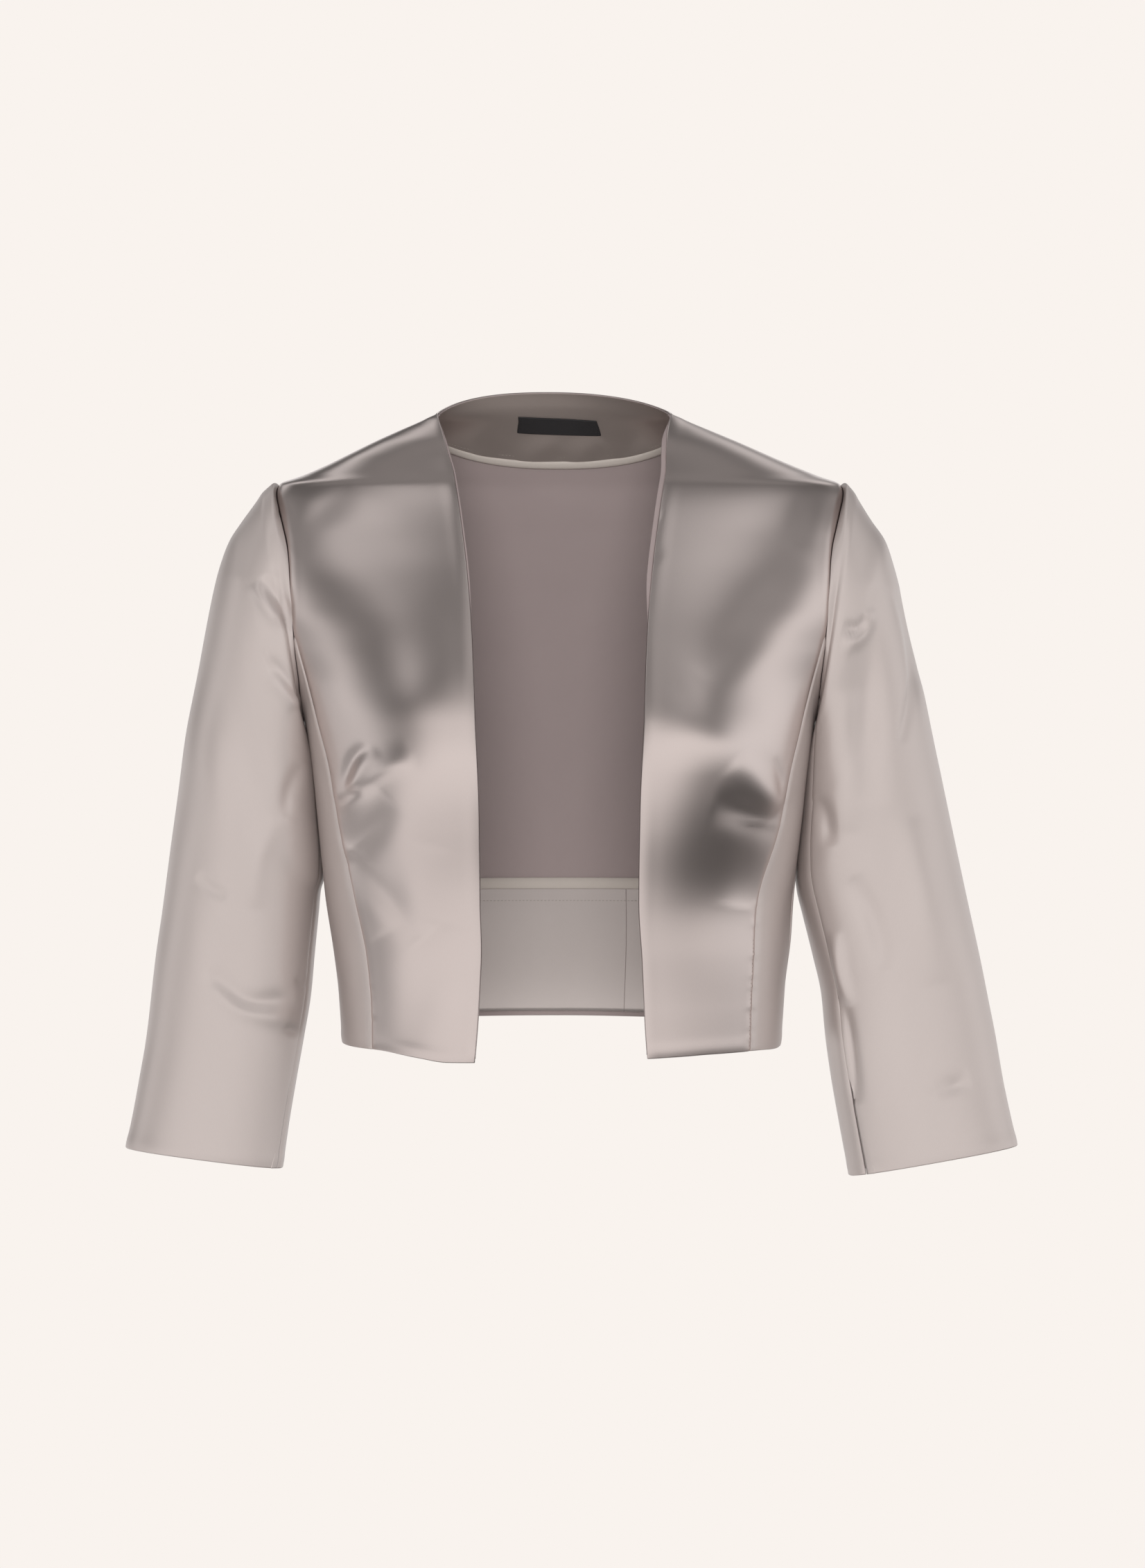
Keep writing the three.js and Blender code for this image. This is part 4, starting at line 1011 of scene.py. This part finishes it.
SLEEVE_CREASES = {
    "right": (
        Crease(-3.2, 4, 6, ((380, 832), (394, 858), (414, 886), (424, 912))),
        Crease(3, 5, 5, ((366, 842), (384, 872), (404, 902))),
        Crease(-2.4, 5, 4, ((388, 948), (410, 978), (430, 1008))),
        Crease(1.8, 5, 5, ((392, 972), (412, 996), (428, 1024))),
        Crease(-2, 5, 6, ((300, 1398), (326, 1424), (360, 1446), (425, 1440))),
        Crease(1.6, 6, 6, ((310, 1418), (340, 1450), (390, 1468), (425, 1466))),
        Crease(-1.6, 4, 4, ((284, 1264), (306, 1284), (328, 1294))),
        Crease(-1.8, 5, 5, ((436, 1100), (418, 1140), (412, 1180))),
        Crease(1.4, 7, 7, ((396, 1180), (372, 1240), (366, 1310))),
        Crease(-1.6, 9, 9, ((350, 700), (352, 760), (340, 830))),
        Crease(-1.2, 3, 3, ((428, 1410), (436, 1418), (444, 1424))),
        Crease(-1.2, 3, 3, ((412, 1480), (420, 1486), (430, 1490))),
    ),
    "left": (
        Crease(-3, 3, 5, ((1294, 850), (1308, 898), (1316, 950), (1316, 992), (1300, 1072))),
        Crease(-3, 4, 5, ((1252, 890), (1240, 908), (1216, 906))),
        Crease(2.7, 5, 5, ((1262, 876), (1254, 902), (1236, 922), (1214, 924))),
        Crease(-2.7, 10, 10, ((1268, 846), (1258, 940), (1250, 1060), (1256, 1160))),
        Crease(2.5, 12, 12, ((1230, 1000), (1222, 1100), (1216, 1200))),
        Crease(-3, 5, 6, ((1176, 1150), (1190, 1176), (1196, 1220))),
        Crease(-2.5, 7, 7, ((1230, 1264), (1262, 1330), (1280, 1400))),
        Crease(2.1, 12, 12, ((1310, 1180), (1330, 1300), (1352, 1420))),
        Crease(-1.4, 6, 7, ((1352, 1576), (1376, 1566), (1400, 1556))),
        Crease(-3.6, 3, 4, ((1212, 1440), (1222, 1480), (1230, 1540), (1236, 1592))),
        Crease(3.4, 4, 4, ((1204, 1340), (1212, 1400), (1226, 1450))),
    ),
}
SLEEVE_SWELLS = {
    "right": (
        Swell(2.4, 60, 16, 75, 300, 1120),
        Swell(-2.2, 40, 16, 70, 352, 1100),
        Swell(-1.8, 34, 12, 60, 336, 1400),
        Swell(-0.5, 3, 3, 0, 401, 742),
        Swell(-0.5, 4, 3, 0, 395, 822),
    ),
    "left": (
        Swell(-2.2, 60, 14, 100, 1248, 1010),
        Swell(2.1, 70, 16, 70, 1370, 1350),
        Swell(-0.45, 3, 2, 0, 1276, 1594),
        Swell(-0.45, 4, 1.6, -15, 1345, 1578),
        Swell(-0.7, 5, 2.6, -20, 1379, 1568),
        Swell(-0.4, 3, 1.6, 0, 1442, 1565),
    ),
}
# Hidden sides, placed in the same pixels as if they were seen through from the front
BACK_CREASES = (
    Crease(-1.0, 14, 16, ((440, 820), (510, 868), (600, 890), (700, 884))),
    Crease(0.9, 16, 14, ((455, 880), (530, 930), (620, 948), (730, 936))),
    Crease(-0.9, 15, 13, ((1175, 840), (1110, 876), (1020, 902), (900, 898))),
    Crease(0.8, 14, 16, ((1160, 900), (1080, 946), (980, 962), (880, 950))),
    Crease(-1.2, 16, 14, ((470, 1130), (560, 1196), (680, 1222), (770, 1214))),
    Crease(1.0, 14, 15, ((490, 1190), (580, 1250), (700, 1276), (820, 1266))),
    Crease(-1.1, 14, 16, ((1140, 1150), (1050, 1210), (940, 1234), (850, 1226))),
    Crease(0.9, 15, 13, ((1120, 1214), (1030, 1270), (930, 1290), (800, 1300))),
    Crease(-0.8, 18, 18, ((806, 700), (800, 820), (812, 960), (806, 1090))),
    Crease(0.7, 20, 20, ((700, 1320), (720, 1400), (716, 1500))),
    Crease(0.6, 18, 20, ((930, 1310), (914, 1400), (922, 1500))),
)
SLEEVE_BACK_CREASES = {
    "right": (
        Crease(-1.8, 10, 12, ((402, 1010), (370, 1050), (320, 1070), (268, 1060))),
        Crease(1.4, 10, 12, ((408, 1060), (370, 1106), (316, 1124), (262, 1112))),
        Crease(-1.6, 11, 10, ((408, 1130), (366, 1168), (310, 1180), (256, 1166))),
        Crease(-1.2, 9, 9, ((412, 930), (384, 970), (350, 990))),
        Crease(1.0, 14, 14, ((330, 760), (322, 860), (312, 960))),
        Crease(-1.0, 12, 12, ((300, 1300), (330, 1400), (350, 1500))),
    ),
    "left": (
        Crease(-1.7, 12, 10, ((1212, 1020), (1250, 1062), (1300, 1076), (1350, 1062))),
        Crease(1.4, 12, 10, ((1206, 1072), (1250, 1116), (1306, 1130), (1362, 1116))),
        Crease(-1.5, 10, 11, ((1208, 1144), (1258, 1182), (1312, 1192), (1370, 1176))),
        Crease(-1.2, 9, 9, ((1206, 936), (1236, 976), (1270, 996))),
        Crease(1.0, 14, 14, ((1290, 770), (1300, 870), (1310, 970))),
        Crease(-1.0, 12, 12, ((1330, 1310), (1312, 1410), (1300, 1510))),
    ),
}
# Small puckers along the foot of the princess seams: reach, wave length and fade, and on each side the
# size and the height in pixels below which they show
PUCKER = {"reach": 5, "pitch": 11, "fade": 25}
PUCKERS = {"right": {"size": 0.28, "above": 1395}, "left": {"size": 0.4, "above": 1290}}

# Cloth turned to the photograph's camera takes the front's creases, and cloth turned away the back's
FACING_FADE = {"from": 0.15, "over": 0.35}


def facing_camera(out):
    return smooth((FACING_FADE["from"] - out[..., 1]) / FACING_FADE["over"])


def facing_back(out):
    return smooth((out[..., 1] + FACING_FADE["from"]) / FACING_FADE["over"])


def body_height(grid, side):
    places = seen(grid.point)
    height = crease_height(places, BODY_CREASES[side], PIXEL)
    height += swell_height(places, BODY_SWELLS[side], PIXEL)
    return height * facing_camera(grid.out)


TOPSTITCH = {"from_seam": 1.8, "top": -345, "foot": -424}


def add_topstitch(grid, height, distances):
    """Small stitches beside the foot of one princess seam."""
    z = grid.point[:, -1, 2]
    rows = np.flatnonzero((z < TOPSTITCH["top"]) & (z > TOPSTITCH["foot"]))
    column = int(np.argmin(np.abs(distances["last"][rows[0]] - TOPSTITCH["from_seam"])))
    out = grid.out[rows, column]
    line = grid.point[rows, column] + out * height[rows, column, None]
    name = "front_left_topstitch"
    return stitch_row(name, line, out, **FINE_STITCH, material=THREAD, slot="binding_tape")


def add_front(side):
    grid = body_grid(*front_spots(side), side)
    distances = edge_distances(grid.point)
    height = body_height(grid, side) + pucker_height(seen(grid.point), distances, "last", side)
    height += edge_height(distances, {"first": TURNED, "last": SEAM, "top": ARMHOLE_SEAM, "foot": TURNED})
    shell = draw_in(grid, last=SEAM_GAP, top=SEAM_GAP)
    trims = [add_topstitch(grid, height, distances)] if side == "left" else []
    cloth_piece(f"front_{side}", shell, height, (SATIN, REVERSE), trims=trims)

    columns = slice(0, int(np.searchsorted(FRONT_COLUMNS, FRONT_FACING_SHARE)) + 1)
    strip = part(grid, columns=columns)
    z = strip.point[:, 0, 2]
    peek = -FACING_PEEK[side] * smooth(z / FACING_PEEK["full"])
    peek = peek * smooth((z - FACING_PEEK["above"]) / FACING_PEEK["fade"])
    facing = draw_in(strip, first=peek, top=SEAM_GAP, foot=FACING_HEM_SETBACK)
    cloth_piece(
        f"front_facing_{side}", facing, height[:, columns], (REVERSE, FACING_SATIN),
        under=INSIDE_SHELL, thickness=FACING,
    )


def add_side_front(side):
    grid = body_grid(*side_front_spots(side), side)
    distances = edge_distances(grid.point)
    height = body_height(grid, side) + pucker_height(seen(grid.point), distances, "first", side)
    height += edge_height(distances, {"first": SEAM, "last": SEAM, "top": ARMHOLE_SEAM, "foot": TURNED})
    shell = draw_in(grid, first=SEAM_GAP, last=SEAM_GAP, top=SEAM_GAP)
    cloth_piece(f"side_front_{side}", shell, height, (SOFT_SATIN, REVERSE))


# Soft folds of the neck's facing towards the wearer
FACING_FOLDS = (
    Crease(1.1, 8, 8, ((806, 632), (776, 650), (746, 666))),
    Crease(1.3, 9, 9, ((868, 630), (846, 648), (820, 666))),
    Crease(1, 8, 8, ((722, 620), (702, 636), (680, 650))),
    Crease(1, 8, 8, ((936, 610), (912, 634), (888, 660))),
)


def back_height(grid):
    return crease_height(seen(grid.point), BACK_CREASES, PIXEL) * facing_back(grid.out)


def add_side_back(side):
    grid = body_grid(*side_back_spots(side), side)
    distances = edge_distances(grid.point)
    height = back_height(grid)
    height += edge_height(distances, {"first": SEAM, "last": SEAM, "top": ARMHOLE_SEAM, "foot": TURNED})
    shell = draw_in(grid, first=SEAM_GAP, last=SEAM_GAP, top=SEAM_GAP)
    cloth_piece(f"side_back_{side}", shell, height, (SOFT_SATIN, REVERSE))
    return grid, height


# Binding: how flat its long edges are against its middle, and the row of the hem facing under its threads
BINDING_EDGE = 0.55
HEM_STITCH_ROW = 3
FACING_ENDS = {"first": 0.15, "last": 0.15}


def binding_thickness(rows, columns):
    share = np.linspace(-1, 1, rows)[:, None]
    return np.broadcast_to(BINDING * mix(BINDING_EDGE, 1, np.sqrt(1 - share ** 2)), (rows, columns))


def inner_line(grid, height, row, depth):
    """Points a depth under one row of a grid, and the way towards the wearer there."""
    out = grid.out[row]
    return grid.point[row] + out * (height[row] - depth)[:, None], -out


def add_label(grid, height):
    """A blank woven label with thinned, stitched ends, on the neck facing."""
    place = LABEL_PLACE
    across = np.linspace(-1, 1, LABEL_FORM["columns"])[None, :]
    down = np.linspace(0, 1, LABEL_FORM["rows"])[:, None]
    reach = mix(place["top_reach"], place["foot_reach"], down)
    column = (place["middle"] + reach * across) * BACK_COLUMNS
    row = (mix(place["top"], place["foot"], down) - place["lean"] * reach * across) * YOKE_ROWS[1]
    label_grid = sampled(grid, row, column)
    label_height = pick(height, *np.broadcast_arrays(row, column))
    under = INSIDE_SHELL + FACING + LAYER_GAP
    middle = np.sqrt(1 - across ** LABEL_FORM["power"])
    thickness = LABEL * mix(LABEL_FORM["end"], 1, middle) * np.ones_like(down)
    label = cloth_piece(
        "label", label_grid, label_height, (LABEL_CLOTH, LABEL_CLOTH), under, thickness,
    )
    ends = []
    stitch_depth = under + LABEL * LABEL_FORM["stitch_depth"]
    for end, column_at in (("left", 1), ("right", -2)):
        out = label_grid.out[:, column_at]
        rise = (label_height[:, column_at] - stitch_depth)[:, None]
        line = label_grid.point[:, column_at] + out * rise
        ends.append(stitch_row(
            f"label_stitches_{end}", line, -out, **LABEL_STITCH, material=THREAD_DARK, slot="label_cloth",
        ))
    return [label, *ends]


def add_hem_facing(back, back_height_map, side_backs):
    """The back hem's facing in two parts, with a bound top edge."""
    seam = round(HEM_FACING_SEAM * BACK_COLUMNS)

    def rows_between(first, last):
        return (
            slice(LEVEL_ROWS[first], LEVEL_ROWS[last] + 1),
            slice(SIDE_LEVEL_ROWS[first], SIDE_LEVEL_ROWS[last] + 1),
        )

    def along(first, last):
        back_rows_at, side_rows_at = rows_between(first, last)
        pieces = []
        heights = []
        for side, step in (("left", 1), ("right", -1)):
            side_grid, side_height = side_backs[side]
            pieces.append(part(side_grid, side_rows_at, slice(None, None, step)))
            heights.append(side_height[side_rows_at, ::step])
        middle = part(back, back_rows_at)
        grid = joined(pieces[0], middle, pieces[1])
        height = np.concatenate(
            [heights[0][:, :-1], back_height_map[back_rows_at], heights[1][:, 1:]], axis=1,
        )
        split = pieces[0].point.shape[1] - 1 + seam
        return grid, height, split

    last = len(BACK_LEVELS_FINE)
    grid, height, split = along(BINDING_LEVEL + 1, last)
    parts = {}
    for name, columns in (("side", slice(0, split + 1)), ("back", slice(split, None))):
        chosen = draw_in(part(grid, columns=columns), top=SEAM_GAP, foot=FACING_HEM_SETBACK, **FACING_ENDS)
        rise = height[:, columns]
        parts[name] = (chosen, rise)

    band, band_height, _ = along(BINDING_LEVEL, BINDING_LEVEL + 1)
    tape = draw_in(band, foot=SEAM_GAP, **FACING_ENDS)
    thickness = binding_thickness(*band_height.shape)
    binding = cloth_piece(
        "hem_binding", tape, band_height, (TAPE, TAPE), INSIDE_SHELL, thickness,
    )
    line, way = inner_line(grid, height, HEM_STITCH_ROW, INSIDE_SHELL + FACING)
    stitches = stitch_row("hem_binding_stitches", line, way, **STITCH, material=THREAD, slot="binding_tape")
    for name, (chosen, rise) in parts.items():
        cloth_piece(
            f"hem_facing_{name}", chosen, rise, (REVERSE, FACING_SATIN),
            under=INSIDE_SHELL, thickness=FACING, trims=(binding, stitches) if name == "back" else (),
        )


def add_back(side_backs):
    grid = body_grid(*back_spots(), "left")
    distances = edge_distances(grid.point)
    height = back_height(grid)
    height += edge_height(distances, {"first": SEAM, "last": SEAM, "top": TURNED, "foot": TURNED})
    shell = draw_in(grid, first=SEAM_GAP, last=SEAM_GAP)
    cloth_piece("back", shell, height, (SATIN, REVERSE))

    band_rows = slice(YOKE_ROWS[2], YOKE_ROWS[3] + 1)
    band = draw_in(part(grid, band_rows), first=SEAM_GAP, last=SEAM_GAP)
    binding = cloth_piece(
        "neck_binding", band, height[band_rows], (TAPE, TAPE), INSIDE_SHELL,
        binding_thickness(*height[band_rows].shape),
    )
    line, way = inner_line(grid, height, YOKE_ROWS[2] - 1, INSIDE_SHELL + FACING)
    stitches = stitch_row("neck_binding_stitches", line, way, **STITCH, material=THREAD, slot="binding_tape")
    facing_rows = slice(0, YOKE_ROWS[2] + 1)
    facing = draw_in(part(grid, facing_rows), first=SEAM_GAP, last=SEAM_GAP)
    folds = crease_height(seen(facing.point), FACING_FOLDS, PIXEL)
    # The neck facing's face takes the satin with painted shade in its tones
    cloth_piece(
        "neck_facing", facing, height[facing_rows] - folds, (REVERSE, SHADED_NECK_SATIN),
        under=INSIDE_SHELL, thickness=FACING, trims=(binding, stitches, *add_label(grid, height)),
    )
    add_hem_facing(grid, height, side_backs)


def add_sleeve(side):
    grid = sleeve_grid(side)
    places = seen(grid.point)
    height = crease_height(places, SLEEVE_CREASES[side], PIXEL)
    height += swell_height(places, SLEEVE_SWELLS[side], PIXEL)
    height = height * facing_camera(grid.out)
    height += crease_height(places, SLEEVE_BACK_CREASES[side], PIXEL) * facing_back(grid.out)
    front = SLEEVE_SEAMS[side]["front"] * FINE
    back = SLEEVE_SEAMS[side]["back"] * FINE
    edges = {"first": SEAM, "last": SEAM, "top": ARMHOLE_SEAM, "foot": TURNED}

    def piece(columns):
        chosen = part(grid, columns=columns)
        lifted = height[:, columns] + edge_height(edge_distances(chosen.point), edges)
        return chosen, lifted

    under, under_height = piece(np.arange(front, back + 1))
    under = draw_in(under, first=SEAM_GAP, last=SEAM_GAP, top=SEAM_GAP)
    cloth_piece(f"sleeve_under_{side}", under, under_height, (SOFT_SATIN, REVERSE))

    top, top_height = piece(np.concatenate([np.arange(back, STATION_COUNT), np.arange(front + 1)]))
    along = np.concatenate([np.zeros(SLEEVE_HEAD_ROWS), np.linspace(SLEEVE_START, 1, SLEEVE_ROWS + 1)])
    below = (along - VENT["from"]) / (1 - VENT["from"])
    opening = np.where(below > 0, mix(VENT["at_top"], VENT["at_hem"], below), SEAM_GAP)
    opened = draw_in(top, first=SEAM_GAP, last=opening, top=SEAM_GAP)
    cloth_piece(f"sleeve_top_{side}", opened, top_height, (SOFT_SATIN, REVERSE))
    add_underlap(side, part(top, rows=below >= 0), top_height[below >= 0])


def add_underlap(side, top, height):
    """The strip behind the vent's open edge."""
    away = edge_distances(top.point)["last"]
    columns = np.arange(top.point.shape[1])
    at = np.linspace(VENT["underlap"], SEAM_GAP, VENT["underlap_steps"] + 1)
    column = np.stack([np.interp(at, row[::-1], columns[::-1]) for row in away])
    row = np.broadcast_to(np.arange(len(away))[:, None], column.shape)
    lap = sampled(top, row, column)
    cloth_piece(
        f"vent_underlap_{side}", lap, pick(height, row, column), (SOFT_SATIN, SOFT_SATIN),
        under=INSIDE_SHELL, thickness=UNDERLAP,
    )


add_back({side: add_side_back(side) for side in SIDES})
for side in SIDES:
    add_front(side)
    add_side_front(side)
    add_sleeve(side)


# Floor, light and camera

# The floor's height and reach, in metres
FLOOR = {"height": -1.3, "side": 3.0, "near": -4.5, "far": 1.4}


def add_floor():
    mesh = bpy.data.meshes.new("floor")
    side, near, far, height = FLOOR["side"], FLOOR["near"], FLOOR["far"], FLOOR["height"]
    corners = [(-side, near, height), (side, near, height), (side, far, height), (-side, far, height)]
    mesh.from_pydata(corners, [], [(0, 1, 2, 3)])
    floor = bpy.data.objects.new("floor", mesh)
    material = bpy.data.materials.new("floor")
    material.use_nodes = True
    shader = material.node_tree.nodes["Principled BSDF"]
    shader.inputs["Base Color"].default_value = colour(226, 220, 214)
    shader.inputs["Roughness"].default_value = 0.9
    mesh.materials.append(material)
    floor.visible_glossy = False
    bpy.context.scene.collection.objects.link(floor)


# Studio light by the tilt in degrees of cloth that shows it to the front: bands one above the other,
# which bend down towards the sides, and an even light from far to each side
LIGHT = table(
    "tilt level",
    (-50, 0.8), (-29, 0.05), (-17, 0.74), (-6, 0.95), (7, 1.02), (14, 0.06), (22, 0.02), (34, 0.06),
    (42, 0.24), (55, 0.36),
)
LIGHT_TINT = (1, 0.985, 0.975)
SIDE_BEND = 0.5
SIDE_LIGHT = {"from": 0.42, "to": 0.62, "level": 1.0}
# Soft boxes and dark screens: tilt and side of the cloth that shows them, reach up and sideways in
# degrees, how far they cover the light behind them, and their own level
PANELS = table(
    "tilt high side wide cover level",
    (20, 14, 14, 13, 0.13, 0.8),
    (16, 5, 2, 6, 0.3, 1.0),
    (27, 14, 40, 16, 0.92, 0.0),
    (27, 14, -40, 16, 0.92, 0.0),
    (30, 4, -8.5, 4, 0.95, 1.2),
    (23, 3.5, -14, 4, 0.95, 1.35),
    (16.5, 4, -22, 6, 0.95, 1.25),
    (22.5, 6, 13, 8.5, 0.85, 1.0),
    (7.5, 8.5, -28, 11, 0.9, 0.0),
    (9.5, 6, 24, 7, 0.6, 0.1),
    (-18, 10.5, 29, 25, 1.0, 0.0),
    (-11, 7.5, -41, 9, 0.7, 0.02),
)
LIGHT_STRENGTH = 1.18
FILL = {"energy": 1.7, "angle": 25, "down": 12}


def add_fill():
    """Broad light from behind the camera, which reaches the inside of the back."""
    fill = bpy.data.objects.new("fill", bpy.data.lights.new("fill", "SUN"))
    bpy.context.scene.collection.objects.link(fill)
    fill.data.energy = FILL["energy"]
    fill.data.angle = math.radians(FILL["angle"])
    fill.rotation_euler = (math.radians(90 - FILL["down"]), 0, 0)
    fill.visible_glossy = False


def add_world():
    """Pale studio all round: the camera sees an even pale wall, and the cloth a soft light and dark room."""
    world = bpy.data.worlds.new("studio")
    bpy.context.scene.world = world
    world.use_nodes = True
    tree = world.node_tree
    tree.nodes.clear()

    def math_node(operation, *values):
        return add_node(tree, "Math", dict(enumerate(values)), operation=operation)

    def blend(share, first, second):
        return add_node(tree, "MixRGB", {"Fac": share, "Color1": first, "Color2": second})

    where = tree.nodes.new("ShaderNodeTexCoord")
    split = tree.nodes.new("ShaderNodeSeparateXYZ")
    feed(tree, split, {"Vector": where.outputs["Generated"]})
    x, y, z = split.outputs
    length = math_node("SQRT", math_node("MULTIPLY_ADD", math_node("ABSOLUTE", y), 2.0, 2.0))
    rise = math_node("DIVIDE", z, length)
    sideways = math_node("DIVIDE", x, length)
    aside = math_node("ABSOLUTE", sideways)
    square = math_node("MULTIPLY", aside, aside)
    bend = math_node("MULTIPLY", square, math_node("SUBTRACT", 1.0, square))
    bent = math_node("MULTIPLY_ADD", bend, SIDE_BEND, rise)
    ramp = tree.nodes.new("ShaderNodeValToRGB")
    feed(tree, ramp, {"Fac": math_node("MULTIPLY_ADD", bent, 0.5, 0.5)})
    ramp.color_ramp.interpolation = "EASE"
    elements = ramp.color_ramp.elements
    while len(elements) < len(LIGHT["tilt"]):
        elements.new(0.5)
    for element, tilt, level in zip(elements, LIGHT["tilt"], LIGHT["level"]):
        element.position = 0.5 + 0.5 * math.sin(math.radians(tilt))
        element.color = (*(level * tint for tint in LIGHT_TINT), 1)

    def from_box(value, middle, reach):
        away = math_node("SUBTRACT", value, math.sin(math.radians(middle)))
        scaled = math_node("DIVIDE", away, math.sin(math.radians(reach)))
        return math_node("MULTIPLY", scaled, scaled)

    reach = add_node(tree, "MapRange", {
        "Value": aside, "From Min": SIDE_LIGHT["from"], "From Max": SIDE_LIGHT["to"],
    }, interpolation_type="SMOOTHSTEP")
    light = blend(reach, ramp.outputs["Color"], (SIDE_LIGHT["level"],) * 3 + (1,))
    for tilt, high, side, wide, cover, level in zip(*PANELS.values()):
        near = math_node("ADD", from_box(rise, tilt, high), from_box(sideways, side, wide))
        fade = math_node("MULTIPLY", math_node("MULTIPLY", near, near), -1.0)
        light = blend(math_node("MULTIPLY", math_node("EXPONENT", fade), cover), light, (level,) * 3 + (1,))

    room = add_node(tree, "Background", {"Color": light, "Strength": LIGHT_STRENGTH})
    wall = add_node(tree, "Background", {"Color": colour(249, 243, 238)})
    path = tree.nodes.new("ShaderNodeLightPath")
    seen_light = add_node(tree, "MixShader", {"Fac": path.outputs["Is Camera Ray"], 1: room, 2: wall})
    output = tree.nodes.new("ShaderNodeOutputWorld")
    feed(tree, output, {"Surface": seen_light})


def add_camera():
    camera = bpy.data.objects.new("camera", bpy.data.cameras.new("camera"))
    bpy.context.scene.collection.objects.link(camera)
    camera.location = Vector(CAMERA_PLACE * MM)
    camera.rotation_euler = (math.pi / 2 - CAMERA_TILT, 0, 0)
    camera.data.sensor_width = SENSOR
    camera.data.lens = SENSOR * PHOTO["focal"] / PHOTO["height"]
    camera.data.clip_end = 100
    bpy.context.scene.camera = camera


add_floor()
add_world()
add_fill()
add_camera()
bpy.context.scene.view_settings.view_transform = "Standard"
